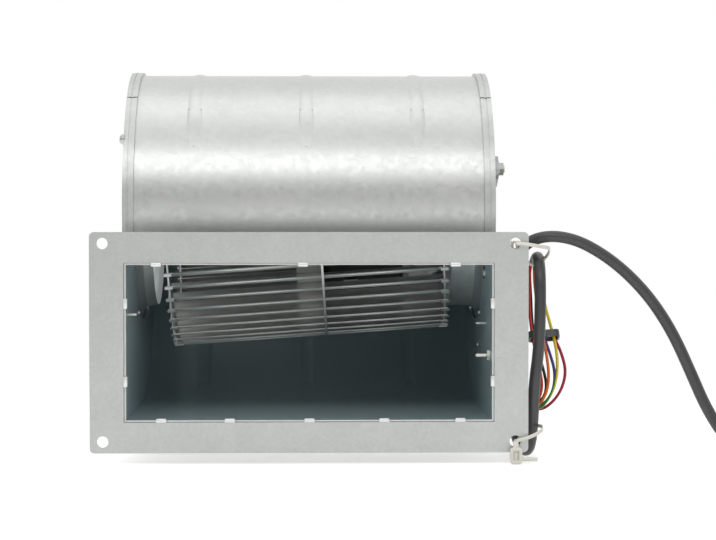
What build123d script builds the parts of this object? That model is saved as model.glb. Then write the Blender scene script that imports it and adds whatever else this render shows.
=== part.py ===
"""Double-inlet centrifugal fan with an external-rotor motor.

Frame: the origin is the centre of the outlet flange's front face. The fan blows towards -Y,
+X runs along the housing from the free inlet to the motor's inlet, and +Z is up.
All sizes are in millimetres.
"""
from build123d import *
import os
from math import asin, cos, degrees, pi, radians, sin, tan

os.makedirs("parts", exist_ok=True)

# Outlet flange: a punched frame with a collar that the duct slides into
flange_width = 270.0
flange_height = 136.0
flange_sheet = 1.5
opening_width = 228.0
opening_height = 98.0
corner_radius = 3.0
hole_margin_x = 8.0
hole_margin_z = 7.0
hole_radius = 3.5
collar_wall = 1.0
collar_depth = 11.0
collar_fit = 0.4
lug_width = 6.5
lug_sheet = 0.8
lug_leg = 6.0
lugs_below = (-91.0, -49.0, 0.0, 46.0, 93.0)
lugs_above = (-94.0, -4.0, 90.0)
lugs_beside = (24.0, -24.0)

# Scroll housing: wrapper sheet between two side plates
sheet = 0.8
side_plate = 1.0
axis_back = 127.0
axis_height = 75.0
scroll_clearance = 12.0
duct_setback = 1.1
nose_radius = 4.0
nose_joint = 7.0
bead_places = (-74.0, -2.0, 70.0)
bead_width = 9.0
bead_rise = 0.9
bead_stop_front = 48.0
bead_stop_floor = 20.0
hem_width = 7.0
hem_reach = 1.0
hem_rise = 2.0
hem_groove = 0.5
seam_slot = 1.2
seam_slot_angle = 128.0

# Inlet nozzles: pressed bell mouths riveted on the side plates
nozzle_sheet = 0.8
throat_step = 3.5
bell_radius = 9.0
rim_width = 6.5
rim_fit = 0.6
nozzle_depth_motor = 19.5
rivets_per_nozzle = 6
rivet_radius = 1.5
rivet_head_radius = 2.6
rivet_head = 1.0

# Rotor line: the motor hangs in rubber buffers, so its free end droops
droop = 4.0
pivot_x = 80.0

# Impeller, measured along the rotor line from the pivot
impeller_radius = 73.0
impeller_length = 184.0
impeller_end = 8.0
blade_count = 50
blade_sheet = 0.6
blade_depth = 12.5
blade_lean = 5.0
blade_camber = 2.1
blade_fit = 0.05
ring_sheet = 1.0
ring_lip = 5.0
ring_lip_wall = 0.7
ring_fit = 0.5
disc_place = -73.0
disc_sheet = 1.5
disc_collar = 16.0
disc_collar_fit = 0.6
disc_bore = 7.0
running_gap = 1.2
clip_length = 9.0
clip_height = 2.6
clip_width = 1.6
clip_place = -60.0
clip_angles = (216.0, 252.0, 64.8)

# Motor
can_radius = 46.0
can_wall = 1.8
can_length = 51.0
can_lip = 1.6
can_corner = 5.0
can_boss_radius = 10.0
can_boss_length = 5.0
shaft_radius = 5.0
bearing_radius = 13.0
bearing_width = 8.0
bearing_race = 2.4
shield_gap = 0.12
hub_wall = 3.0
hub_overhang = 2.0
air_gap = 0.4
cage_ring = 5.6
core_length = 32.0
core_gap_to_can = 9.0
slot_count = 12
slot_width = 5.0
slot_depth = 13.0
winding_overhang = 5.5
can_running_gap = 1.5
motor_flange_plate = 4.0
neck_radius = 22.0
neck_wall = 3.0
pad_radius = 35.0
pad_thickness = 4.0
pad_place = 14.0
bore_land = 1.6
circlip_width = 1.2
circlip_reach = 2.4
circlip_groove = 0.5
spring_width = 2.0
winding_gap = 1.5
rib_count = 8
rib_width = 3.0
disc_rivet_count = 6
disc_rivet_circle = 30.0

# Motor bracket: a pressed spider across the motor's inlet
bracket_sheet = 2.0
bracket_place = 102.0
bracket_ring_radius = 39.0
bracket_hole_radius = 17.0
buffer_circle = 27.0
buffer_radius = 7.0
arm_width = 16.0
foot_inset = 0.5
foot_z = 33.0
foot_reach = 7.0
foot_corner = 6.0
arm_bend = 2.0
bush_height = 5.4
bush_radius = 5.6
stud_radius = 2.5
stud_fit = 0.1
washer_radius = 5.0
washer_sheet = 0.8
nut_width = 8.0
nut_height = 2.7
stud_end = 0.8
stud_head_radius = 4.2
stud_head = 1.0

# Leads: sheath, conductors, strain relief, clip, ties, coil and connector
sheath_radius = 3.6
core_radius = 0.95
gland_seat_radius = 8.0
gland_collar_radius = 11.0
gland_collar = 2.0
gland_neck_radius = 7.2
gland_elbow_radius = 7.6
gland_elbow_place = 31.0
gland_tip_radius = 4.6
gland_taper = 5.5
clip_fit = 0.3
clip_wall = 1.0
clip_band = 8.0
clip_foot = 14.0
clip_rivet_offset = 8.0
clip_stand = 10.4
clip_forward = 29.75
clip_below_rim = 7.0
clip_run_y = 3.75
clip_run_z = 8.5
band_height = 4.6
band_wall = 1.1
band_fit = 0.8
band_centre = (149.2, 40.2, 1.6)
tie_width = 3.6
tie_wall = 1.0
tie_head_width = 7.4
tie_head_height = 10.2
tie_head_depth = 5.0
tie_fit = 0.5
tie_top_height = 60.8
tie_top_reach = 29.5
tie_bottom_height = -57.0
tie_bottom_reach = 20.0
tie_edge = 139.0
tie_edge_back = 6.0
tie_outside = 147.5
tie_corner = 8.0
tie_bend = 2.0
bend_share = 0.45
coil_centre = (310.0, 30.0)
coil_radius = 40.0
coil_fit = 0.1
floor_level = -75.0
connector_length = 24.0
connector_width = 14.0
connector_height = 9.0
connector_wall = 1.2
cavity_depth = 9.0
latch_start = 6.0
latch_setback = 3.0
latch_width = 5.0
latch_height = 1.5

# Worked out from the sizes above
hole_pitch_x = flange_width - 2 * hole_margin_x
hole_pitch_z = flange_height - 2 * hole_margin_z
duct_half_width = opening_width / 2 - collar_fit
duct_half_height = opening_height / 2 - collar_fit
inner_half_width = duct_half_width - side_plate
duct_top = duct_half_height - sheet
scroll_front = impeller_radius + scroll_clearance
scroll_growth = (axis_height + duct_half_height - scroll_front) / 3
first_radius = scroll_front + scroll_growth / 2
outer_face = inner_half_width + side_plate
blade_inner_radius = impeller_radius - blade_depth
throat_radius = blade_inner_radius - throat_step
rim_radius = throat_radius + bell_radius + rim_width
nozzle_hole_radius = throat_radius + bell_radius + rim_fit
rivet_circle = nozzle_hole_radius + rim_width / 2
impeller_start = impeller_end - impeller_length
lean_reach = impeller_radius * sin(radians(droop))
nozzle_depth_free = (
    inner_half_width + pivot_x + impeller_start * cos(radians(droop)) - lean_reach - running_gap
)
can_front = disc_place + can_wall
can_end = disc_place + can_length
core_start = can_front + core_gap_to_can
core_end = core_start + core_length
cage_inner_radius = can_radius - can_wall - cage_ring
core_radius_motor = cage_inner_radius - air_gap
hub_radius = bearing_radius + hub_wall
flange_face = can_end + can_running_gap
foot_y = rim_radius - foot_inset
foot_place = outer_face + bush_height

line_direction = Vector(cos(radians(droop)), 0, sin(radians(droop)))
pivot = Vector(pivot_x, axis_back, axis_height)
rotor_axis = Axis(pivot, line_direction)
rotor_cross = Plane(origin=pivot, x_dir=(0, 1, 0), z_dir=line_direction)
rotor_section = Plane(origin=pivot, x_dir=line_direction, z_dir=(0, -1, 0))
housing_centre = (0, axis_back, axis_height)
housing_axis = Axis(housing_centre, (1, 0, 0))
housing_cross = Plane(origin=housing_centre, x_dir=(0, 1, 0), z_dir=(1, 0, 0))
housing_section = Plane(origin=housing_centre, x_dir=(1, 0, 0), z_dir=(0, -1, 0))

lead_clip_centre = Vector(outer_face + clip_stand, axis_back - clip_forward, axis_height - rim_radius - clip_below_rim)
lead_clip_half = Vector(0, -clip_run_y, -clip_run_z)
lead_clip_run = lead_clip_half.normalized()
lead_clip_across = Vector(0, clip_run_z, -clip_run_y).normalized()
clip_rivet = lead_clip_centre + lead_clip_across * clip_rivet_offset


def scroll_centre(quarter):
    """Centre of one of the scroll's quarter arcs, on a square about the axis, as (y, z)."""
    half = scroll_growth / 2
    places = [(half, half), (half, -half), (-half, -half)]
    return (axis_back + places[quarter][0], axis_height + places[quarter][1])


def side_face(grow):
    """Side view of the air space, x back and y up, with its walls moved outwards by grow."""
    centres = [scroll_centre(quarter) for quarter in range(3)]
    radii = [first_radius - sheet + quarter * scroll_growth + grow for quarter in range(3)]
    top = duct_top + grow
    nose_angle = degrees(asin((centres[0][1] - top) / radii[0]))
    nose = (centres[0][0] - radii[0] * cos(radians(nose_angle)), top)
    floor = centres[2][1] - radii[2]
    with BuildSketch() as face:
        with BuildLine():
            Line((duct_setback, top), nose)
            CenterArc(centres[0], radii[0], 180 + nose_angle, -90 - nose_angle)
            CenterArc(centres[1], radii[1], 90, -90)
            CenterArc(centres[2], radii[2], 0, -90)
            Line((centres[2][0], floor), (duct_setback, floor))
            Line((duct_setback, floor), (duct_setback, top))
        make_face()
        fillet(face.vertices().sort_by_distance(nose)[0], nose_radius - grow)
    return face.sketch


def wrapper_face(quarter, angle, beads):
    """Cross-section of the wrapper sheet on one arc, at an angle from straight back upwards."""
    centre = scroll_centre(quarter)
    outer = first_radius + quarter * scroll_growth
    normal = (0, -sin(radians(angle)), cos(radians(angle)))
    plane = Plane(origin=(0, centre[0], centre[1]), x_dir=(1, 0, 0), z_dir=normal)
    half = bead_width / 2
    with BuildSketch(plane) as face:
        with BuildLine():
            for height in (outer - sheet, outer):
                start = (-inner_half_width, height)
                for x in beads:
                    Line(start, (x - half, height))
                    ThreePointArc((x - half, height), (x, height + bead_rise), (x + half, height))
                    start = (x + half, height)
                Line(start, (inner_half_width, height))
            Line((-inner_half_width, outer - sheet), (-inner_half_width, outer))
            Line((inner_half_width, outer - sheet), (inner_half_width, outer))
        make_face()
    return face.sketch


# Scroll wrapper: three quarter arcs and the duct's floor, with beads pressed outwards
joint_height = duct_top + nose_joint
joint_angle = 180 + degrees(asin((scroll_centre(0)[1] - joint_height) / first_radius))
bead_start = 90 + bead_stop_front
bead_end = -90 + bead_stop_floor
stretches_by_quarter = [
    [(joint_angle + 2, bead_start, ()), (bead_start, 90, bead_places)],
    [(90, 0, bead_places)],
    [(0, bead_end, bead_places), (bead_end, -90, ())],
]
with BuildPart() as scroll_wrapper:
    for quarter, stretches in enumerate(stretches_by_quarter):
        centre = scroll_centre(quarter)
        turn_axis = Axis((0, centre[0], centre[1]), (-1, 0, 0))
        for start, stop, beads in stretches:
            revolve(wrapper_face(quarter, start, beads), axis=turn_axis, revolution_arc=start - stop)
    with BuildSketch(Plane.YZ.offset(-inner_half_width)):
        floor_end = scroll_centre(2)[0]
        with Locations(((floor_end + duct_setback) / 2, -duct_half_height + sheet / 2)):
            Rectangle(floor_end - duct_setback, sheet)
    extrude(amount=2 * inner_half_width)
    with BuildSketch(Plane.YZ.offset(-inner_half_width)):
        with Locations((0, joint_height)):
            Rectangle(axis_back, 4 * nose_joint, align=(Align.MIN, Align.MAX))
    extrude(amount=2 * inner_half_width, mode=Mode.SUBTRACT)
scroll_wrapper.part.label = "scroll_wrapper"
export_step(scroll_wrapper.part, "parts/scroll_wrapper.step")

# Cutoff plate: the duct's top wall with the rounded nose that parts the air
with BuildPart() as cutoff_plate:
    with BuildSketch(Plane.YZ.offset(-inner_half_width)):
        add(side_face(sheet))
        add(side_face(0), mode=Mode.SUBTRACT)
        with Locations((0, joint_height)):
            Rectangle(axis_back, 4 * nose_joint, align=(Align.MIN, Align.MAX), mode=Mode.INTERSECT)
    extrude(amount=2 * inner_half_width)
cutoff_plate.part.label = "cutoff_plate"
export_step(cutoff_plate.part, "parts/cutoff_plate.step")

# Side plates: a web round the inlet hole and a hem folded over the wrapper's edge
for name, side in (("left", -1), ("right", 1)):
    web_plane = Plane.YZ.offset(side * inner_half_width)
    hem_start = inner_half_width - hem_reach
    hem_plane = Plane.YZ.offset(side * hem_start)
    with BuildPart() as side_wall:
        with BuildSketch(web_plane):
            add(side_face(sheet))
            with Locations((axis_back, axis_height)):
                Circle(nozzle_hole_radius, mode=Mode.SUBTRACT)
                with PolarLocations(rivet_circle, rivets_per_nozzle):
                    Circle(rivet_radius, mode=Mode.SUBTRACT)
                if side == 1:
                    with GridLocations(2 * foot_y, 2 * foot_z, 2, 2):
                        Circle(stud_radius, mode=Mode.SUBTRACT)
            if side == 1:
                with Locations((clip_rivet.Y, clip_rivet.Z)):
                    Circle(rivet_radius, mode=Mode.SUBTRACT)
        extrude(amount=side * side_plate)
        with BuildSketch(hem_plane):
            add(side_face(sheet + hem_rise))
            add(side_face(sheet), mode=Mode.SUBTRACT)
            with Locations((collar_depth / 2 + flange_sheet / 2, 0)):
                Rectangle(collar_depth + flange_sheet + 2, 2 * axis_height, mode=Mode.SUBTRACT)
        extrude(amount=side * hem_width)
        groove_plane = Plane.YZ.offset(side * (hem_start + hem_width / 2 - hem_groove))
        with BuildSketch(groove_plane):
            add(side_face(sheet + hem_rise + 1))
            add(side_face(sheet + hem_rise - hem_groove), mode=Mode.SUBTRACT)
        extrude(amount=side * 2 * hem_groove, mode=Mode.SUBTRACT)
        slot_normal = (0, cos(radians(seam_slot_angle)), sin(radians(seam_slot_angle)))
        slot_from = Vector(side * hem_start, *scroll_centre(0)) + Vector(*slot_normal) * first_radius
        with BuildSketch(Plane(origin=slot_from, x_dir=(1, 0, 0), z_dir=slot_normal)):
            Rectangle(3 * hem_width, seam_slot)
        extrude(amount=2 * hem_rise, mode=Mode.SUBTRACT)
    side_wall.part.label = f"side_plate_{name}"
    export_step(side_wall.part, f"parts/side_plate_{name}.step")

# Outlet flange: punched frame, collar behind it, and lugs that hook over the duct's front edge
with BuildPart() as outlet_flange:
    with BuildSketch(Plane.XZ):
        RectangleRounded(flange_width, flange_height, corner_radius)
        Rectangle(opening_width, opening_height, mode=Mode.SUBTRACT)
        with GridLocations(hole_pitch_x, hole_pitch_z, 2, 2):
            Circle(hole_radius, mode=Mode.SUBTRACT)
    extrude(amount=-flange_sheet)
    with BuildSketch(Plane.XZ):
        Rectangle(opening_width + 2 * collar_wall, opening_height + 2 * collar_wall)
        Rectangle(opening_width, opening_height, mode=Mode.SUBTRACT)
    extrude(amount=-collar_depth)
    lug_reach_z = collar_fit + sheet + lug_sheet
    lug_reach_x = collar_fit + side_plate + lug_sheet
    for x in lugs_below:
        with BuildSketch(Plane.XZ):
            with Locations((x, -opening_height / 2)):
                Rectangle(lug_width, lug_reach_z, align=(Align.CENTER, Align.MIN))
        extrude(amount=-lug_sheet)
        with BuildSketch(Plane.XZ):
            with Locations((x, -opening_height / 2 + lug_reach_z)):
                Rectangle(lug_width, lug_sheet, align=(Align.CENTER, Align.MAX))
        extrude(amount=-lug_leg)
    for x in lugs_above:
        with BuildSketch(Plane.XZ):
            with Locations((x, opening_height / 2)):
                Rectangle(lug_width, lug_reach_z, align=(Align.CENTER, Align.MAX))
        extrude(amount=-lug_sheet)
        with BuildSketch(Plane.XZ):
            with Locations((x, opening_height / 2 - lug_reach_z)):
                Rectangle(lug_width, lug_sheet, align=(Align.CENTER, Align.MIN))
        extrude(amount=-lug_leg)
    for z in lugs_beside:
        for side in (-1, 1):
            with BuildSketch(Plane.XZ):
                with Locations((side * (opening_width - lug_reach_x) / 2, z)):
                    Rectangle(lug_reach_x, lug_width)
            extrude(amount=-lug_sheet)
            with BuildSketch(Plane.XZ):
                with Locations((side * (opening_width / 2 - lug_reach_x + lug_sheet / 2), z)):
                    Rectangle(lug_sheet, lug_width)
            extrude(amount=-lug_leg)
outlet_flange.part.label = "outlet_flange"
export_step(outlet_flange.part, "parts/outlet_flange.step")

# Inlet nozzles: a short throat, a bell and a flat rim on the side plate's outer face
for name, side, depth in (("left", -1, nozzle_depth_free), ("right", 1, nozzle_depth_motor)):
    rim_place = outer_face + nozzle_sheet / 2
    bell = min(bell_radius, depth + side_plate)
    with BuildPart() as inlet_nozzle:
        with BuildSketch(housing_section):
            with BuildLine():
                throat = (side * (inner_half_width - depth), throat_radius)
                bell_from = (side * (rim_place - bell), throat_radius)
                bell_to = (side * rim_place, throat_radius + bell)
                Line(throat, bell_from)
                RadiusArc(bell_from, bell_to, side * -bell)
                Line(bell_to, (side * rim_place, throat_radius + bell + rim_width))
            trace(line_width=nozzle_sheet)
        revolve(axis=housing_axis)
        with BuildSketch(housing_cross.offset(side * (outer_face - 1))):
            with PolarLocations(rivet_circle, rivets_per_nozzle):
                Circle(rivet_radius)
        extrude(amount=side * 3, mode=Mode.SUBTRACT)
    inlet_nozzle.part.label = f"inlet_nozzle_{name}"
    export_step(inlet_nozzle.part, f"parts/inlet_nozzle_{name}.step")

for name, side in (("left", -1), ("right", 1)):
    with BuildPart() as nozzle_rivets:
        with BuildSketch(housing_cross.offset(side * (inner_half_width - rivet_head))):
            with PolarLocations(rivet_circle, rivets_per_nozzle):
                Circle(rivet_head_radius)
        extrude(amount=side * rivet_head)
        with BuildSketch(housing_cross.offset(side * inner_half_width)):
            with PolarLocations(rivet_circle, rivets_per_nozzle):
                Circle(rivet_radius)
        extrude(amount=side * (side_plate + nozzle_sheet))
        with BuildSketch(housing_cross.offset(side * (outer_face + nozzle_sheet))):
            with PolarLocations(rivet_circle, rivets_per_nozzle):
                Circle(rivet_head_radius)
        extrude(amount=side * rivet_head, taper=20)
    nozzle_rivets.part.label = f"nozzle_rivets_{name}"
    export_step(nozzle_rivets.part, f"parts/nozzle_rivets_{name}.step")

# Impeller disc: it carries both rows of blades and its collar stiffens the left row
ring_inner_radius = blade_inner_radius - ring_fit
blade_tip_radius = impeller_radius - ring_lip_wall - blade_fit
with BuildPart() as impeller_disc:
    with BuildSketch(rotor_cross.offset(disc_place)):
        Circle(impeller_radius)
        Circle(disc_bore, mode=Mode.SUBTRACT)
        with PolarLocations(disc_rivet_circle, disc_rivet_count):
            Circle(rivet_radius, mode=Mode.SUBTRACT)
    extrude(amount=-disc_sheet)
    with BuildSketch(rotor_cross.offset(disc_place - disc_sheet)):
        Circle(blade_inner_radius - disc_collar_fit)
        Circle(blade_inner_radius - disc_collar_fit - disc_sheet, mode=Mode.SUBTRACT)
    extrude(amount=-disc_collar)
impeller_disc.part.label = "impeller_disc"
export_step(impeller_disc.part, "parts/impeller_disc.step")

# Blades: forward-curved strips, hollow side ahead, clinched between the disc and the end rings
blade_root = Vector(blade_inner_radius, 0)
blade_tip = Vector((blade_tip_radius**2 - blade_lean**2) ** 0.5, -blade_lean)
chord = blade_tip - blade_root
chord_side = Vector(-chord.Y, chord.X).normalized()
with BuildSketch() as blade_section:
    with BuildLine():
        ThreePointArc(blade_root, (blade_root + blade_tip) / 2 + chord_side * blade_camber, blade_tip)
    trace(line_width=blade_sheet)
    with BuildSketch(mode=Mode.INTERSECT):
        Circle(blade_tip_radius)
        Circle(blade_inner_radius, mode=Mode.SUBTRACT)
rows = (
    ("left", impeller_start + ring_sheet, disc_place - disc_sheet),
    ("right", disc_place, impeller_end - ring_sheet),
)
for name, row_start, row_end in rows:
    with BuildPart() as blade_row:
        with BuildSketch(rotor_cross.offset(row_start)):
            with PolarLocations(0, blade_count):
                add(blade_section.sketch)
        extrude(amount=row_end - row_start)
    blade_row.part.label = f"blade_row_{name}"
    export_step(blade_row.part, f"parts/blade_row_{name}.step")

# End rings: a flat ring with a lip that closes over the blade tips
for name, place, inward in (("left", impeller_start, 1), ("right", impeller_end, -1)):
    with BuildPart() as end_ring:
        with BuildSketch(rotor_section):
            with BuildLine():
                Polyline(
                    (place, ring_inner_radius),
                    (place, impeller_radius),
                    (place + inward * ring_lip, impeller_radius),
                    (place + inward * ring_lip, impeller_radius - ring_lip_wall),
                    (place + inward * ring_sheet, impeller_radius - ring_lip_wall),
                    (place + inward * ring_sheet, ring_inner_radius),
                    close=True,
                )
            make_face()
        revolve(axis=rotor_axis)
    end_ring.part.label = f"end_ring_{name}"
    export_step(end_ring.part, f"parts/end_ring_{name}.step")

# Balance clips: short strips pinched on the inner edges of a few blades
with BuildPart() as balance_clips:
    with BuildSketch(rotor_cross.offset(clip_place)):
        for angle in clip_angles:
            with PolarLocations(blade_inner_radius - clip_height / 2, 1, start_angle=angle):
                Rectangle(clip_height, clip_width)
    extrude(amount=clip_length)
balance_clips.part.label = "balance_clips"
export_step(balance_clips.part, "parts/balance_clips.step")

# Rotor can: drawn cup that turns round the stator, riveted to the impeller's disc
with BuildPart() as rotor_can:
    with BuildSketch(rotor_section) as can_profile:
        with BuildLine():
            Polyline(
                (disc_place, shaft_radius),
                (disc_place, can_radius),
                (can_end - can_wall, can_radius),
                (can_end - can_wall, can_radius + can_lip),
                (can_end, can_radius + can_lip),
                (can_end, can_radius - can_wall),
                (can_front, can_radius - can_wall),
                (can_front, can_boss_radius),
                (can_front + can_boss_length, can_boss_radius),
                (can_front + can_boss_length, shaft_radius),
                close=True,
            )
        make_face()
        fillet(can_profile.vertices().sort_by_distance((disc_place, can_radius))[0], can_corner)
        inner_corner = can_profile.vertices().sort_by_distance((can_front, can_radius - can_wall))[0]
        fillet(inner_corner, can_corner - can_wall)
    revolve(axis=rotor_axis)
    with BuildSketch(rotor_cross.offset(disc_place)):
        with PolarLocations(disc_rivet_circle, disc_rivet_count):
            Circle(rivet_radius)
    extrude(amount=can_wall, mode=Mode.SUBTRACT)
rotor_can.part.label = "rotor_can"
export_step(rotor_can.part, "parts/rotor_can.step")

with BuildPart() as disc_rivets:
    with BuildSketch(rotor_cross.offset(disc_place - disc_sheet - rivet_head)):
        with PolarLocations(disc_rivet_circle, disc_rivet_count):
            Circle(rivet_head_radius)
    extrude(amount=rivet_head)
    with BuildSketch(rotor_cross.offset(disc_place - disc_sheet)):
        with PolarLocations(disc_rivet_circle, disc_rivet_count):
            Circle(rivet_radius)
    extrude(amount=disc_sheet + can_wall)
    with BuildSketch(rotor_cross.offset(can_front)):
        with PolarLocations(disc_rivet_circle, disc_rivet_count):
            Circle(rivet_head_radius)
    extrude(amount=rivet_head)
disc_rivets.part.label = "disc_rivets"
export_step(disc_rivets.part, "parts/disc_rivets.step")

# Cage ring: the laminated ring with its bars, pressed into the can
with BuildPart() as cage_ring_part:
    with BuildSketch(rotor_cross.offset(core_start)):
        Circle(can_radius - can_wall)
        Circle(cage_inner_radius, mode=Mode.SUBTRACT)
    extrude(amount=core_length)
cage_ring_part.part.label = "cage_ring"
export_step(cage_ring_part.part, "parts/cage_ring.step")

# Shaft with its circlip
hub_start = core_start - hub_overhang
bearing_places = (hub_start, flange_face - bearing_width / 2)
circlip_place = bearing_places[1] + bearing_width
with BuildPart() as shaft:
    with BuildSketch(rotor_cross.offset(disc_place)):
        Circle(shaft_radius)
    extrude(amount=circlip_place + 2 * circlip_width - disc_place)
    chamfer(shaft.faces().sort_by(rotor_axis)[-1].edges(), circlip_groove)
    with BuildSketch(rotor_cross.offset(circlip_place)):
        Circle(shaft_radius)
        Circle(shaft_radius - circlip_groove, mode=Mode.SUBTRACT)
    extrude(amount=circlip_width, mode=Mode.SUBTRACT)
shaft.part.label = "shaft"
export_step(shaft.part, "parts/shaft.step")

with BuildPart() as circlip:
    with BuildSketch(rotor_cross.offset(circlip_place)):
        Circle(shaft_radius + circlip_reach)
        Circle(shaft_radius - circlip_groove, mode=Mode.SUBTRACT)
        with Locations((shaft_radius, 0)):
            Rectangle(2 * shaft_radius, circlip_reach, mode=Mode.SUBTRACT)
    extrude(amount=circlip_width)
circlip.part.label = "circlip"
export_step(circlip.part, "parts/circlip.step")

# Bearings: the inner rings turn with the shaft, the outer rings keep the shields
with BuildPart() as bearing_inner_rings:
    for place in bearing_places:
        with BuildSketch(rotor_cross.offset(place)):
            Circle(shaft_radius + bearing_race)
            Circle(shaft_radius, mode=Mode.SUBTRACT)
        extrude(amount=bearing_width)
bearing_inner_rings.part.label = "bearing_inner_rings"
export_step(bearing_inner_rings.part, "parts/bearing_inner_rings.step")

with BuildPart() as bearing_outer_rings:
    for place in bearing_places:
        with BuildSketch(rotor_cross.offset(place)):
            Circle(bearing_radius)
            Circle(shaft_radius + bearing_race + shield_gap, mode=Mode.SUBTRACT)
        extrude(amount=bearing_width)
bearing_outer_rings.part.label = "bearing_outer_rings"
export_step(bearing_outer_rings.part, "parts/bearing_outer_rings.step")

with BuildPart() as preload_spring:
    with BuildSketch(rotor_cross.offset(bearing_places[0] + bearing_width)):
        Circle(bearing_radius)
        Circle(bearing_radius - bore_land, mode=Mode.SUBTRACT)
    extrude(amount=spring_width)
preload_spring.part.label = "preload_spring"
export_step(preload_spring.part, "parts/preload_spring.step")

# Stator: slotted core, end windings and the cast flange whose hub holds the bearings
with BuildPart() as stator_core:
    with BuildSketch(rotor_cross.offset(core_start)):
        Circle(core_radius_motor)
        Circle(hub_radius, mode=Mode.SUBTRACT)
        with PolarLocations(core_radius_motor - slot_depth / 2, slot_count):
            Rectangle(slot_depth, slot_width, mode=Mode.SUBTRACT)
    extrude(amount=core_length)
stator_core.part.label = "stator_core"
export_step(stator_core.part, "parts/stator_core.step")

with BuildPart() as end_windings:
    for place in (core_start - winding_overhang, core_end):
        with BuildSketch(rotor_cross.offset(place)):
            Circle(core_radius_motor - winding_gap)
            Circle(hub_radius + winding_gap, mode=Mode.SUBTRACT)
        extrude(amount=winding_overhang)
    fillet(end_windings.edges().filter_by(GeomType.CIRCLE), winding_gap)
end_windings.part.label = "end_windings"
export_step(end_windings.part, "parts/end_windings.step")

land_start = bearing_places[0] + bearing_width + spring_width
neck_start = flange_face + motor_flange_plate
pad_start = pad_place - pad_thickness
with BuildPart() as motor_flange:
    with BuildSketch(rotor_section):
        with BuildLine():
            Polyline(
                (hub_start, hub_radius),
                (flange_face, hub_radius),
                (flange_face, can_radius),
                (neck_start, can_radius),
                (neck_start, neck_radius),
                (pad_start, neck_radius),
                (pad_start, pad_radius),
                (pad_place, pad_radius),
                (pad_place, gland_seat_radius),
                (pad_start, gland_seat_radius),
                (pad_start, neck_radius - neck_wall),
                (circlip_place, neck_radius - neck_wall),
                (circlip_place, bearing_radius),
                (bearing_places[1], bearing_radius),
                (bearing_places[1], bearing_radius - bore_land),
                (land_start, bearing_radius - bore_land),
                (land_start, bearing_radius),
                (hub_start, bearing_radius),
                close=True,
            )
        make_face()
    revolve(axis=rotor_axis)
    for turn in range(rib_count):
        rib_plane = Plane(rotor_section.location * Location((0, 0, 0), (turn * 360 / rib_count, 0, 0)))
        with BuildSketch(rib_plane):
            with BuildLine():
                Polyline(
                    (neck_start, neck_radius - neck_wall / 2),
                    (neck_start, can_radius - rib_width),
                    (neck_start + rib_width, can_radius - rib_width),
                    (pad_start, pad_radius - rib_width),
                    (pad_start, neck_radius - neck_wall / 2),
                    close=True,
                )
            make_face()
        extrude(amount=rib_width / 2, both=True)
motor_flange.part.label = "motor_flange"
export_step(motor_flange.part, "parts/motor_flange.step")

# Motor bracket: ring on the rubber buffers and four arms that slope out to feet on the side plate
with BuildPart() as motor_bracket:
    with BuildSketch(housing_cross.offset(bracket_place)):
        Circle(bracket_ring_radius)
    extrude(amount=bracket_sheet)
    foot_radius = (foot_y**2 + foot_z**2) ** 0.5
    foot_angle = degrees(asin(foot_z / foot_radius))
    half_sheet = bracket_sheet / 2
    for angle in (foot_angle, 180 - foot_angle, 180 + foot_angle, -foot_angle):
        arm_normal = (0, sin(radians(angle)), -cos(radians(angle)))
        with BuildSketch(Plane(origin=housing_centre, x_dir=(1, 0, 0), z_dir=arm_normal)):
            with BuildLine():
                Polyline(
                    (bracket_place + half_sheet, bracket_hole_radius),
                    (bracket_place + half_sheet, bracket_ring_radius + arm_bend),
                    (foot_place + half_sheet, foot_radius - foot_reach - arm_bend),
                    (foot_place + half_sheet, foot_radius + foot_reach),
                )
            trace(line_width=bracket_sheet)
        extrude(amount=arm_width / 2, both=True)
    with BuildSketch(housing_cross.offset(bracket_place)):
        Circle(bracket_hole_radius)
        with PolarLocations(buffer_circle, 4, start_angle=45):
            Circle(stud_radius + stud_fit)
    extrude(amount=bracket_sheet, mode=Mode.SUBTRACT)
    with BuildSketch(housing_cross.offset(foot_place)):
        with GridLocations(2 * foot_y, 2 * foot_z, 2, 2):
            Circle(stud_radius + stud_fit)
    extrude(amount=bracket_sheet, mode=Mode.SUBTRACT)
    tips = motor_bracket.edges().filter_by(Axis.X).filter_by(
        lambda edge: (edge.center() - Vector(edge.center().X, axis_back, axis_height)).length > foot_radius
    )
    fillet(tips, foot_corner)
motor_bracket.part.label = "motor_bracket"
export_step(motor_bracket.part, "parts/motor_bracket.step")

# Rubber buffers between the motor's pad and the bracket, cut by both planes
with BuildPart() as rubber_buffers:
    with BuildSketch(rotor_cross.offset(pad_place)):
        with PolarLocations(buffer_circle, 4, start_angle=45):
            Circle(buffer_radius)
    extrude(amount=bracket_place - pivot_x)
    split(bisect_by=housing_cross.offset(bracket_place), keep=Keep.BOTTOM)
rubber_buffers.part.label = "rubber_buffers"
export_step(rubber_buffers.part, "parts/rubber_buffers.step")

with BuildPart() as buffer_studs:
    with BuildSketch(housing_cross.offset(bracket_place)):
        with PolarLocations(buffer_circle, 4, start_angle=45):
            Circle(stud_radius)
    extrude(amount=bracket_sheet + nut_height + stud_end)
buffer_studs.part.label = "buffer_studs"
export_step(buffer_studs.part, "parts/buffer_studs.step")

with BuildPart() as buffer_nuts:
    with BuildSketch(housing_cross.offset(bracket_place + bracket_sheet)):
        with PolarLocations(buffer_circle, 4, start_angle=45):
            RegularPolygon(nut_width / 2, 6, major_radius=False)
            Circle(stud_radius, mode=Mode.SUBTRACT)
    extrude(amount=nut_height)
buffer_nuts.part.label = "buffer_nuts"
export_step(buffer_nuts.part, "parts/buffer_nuts.step")

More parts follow.
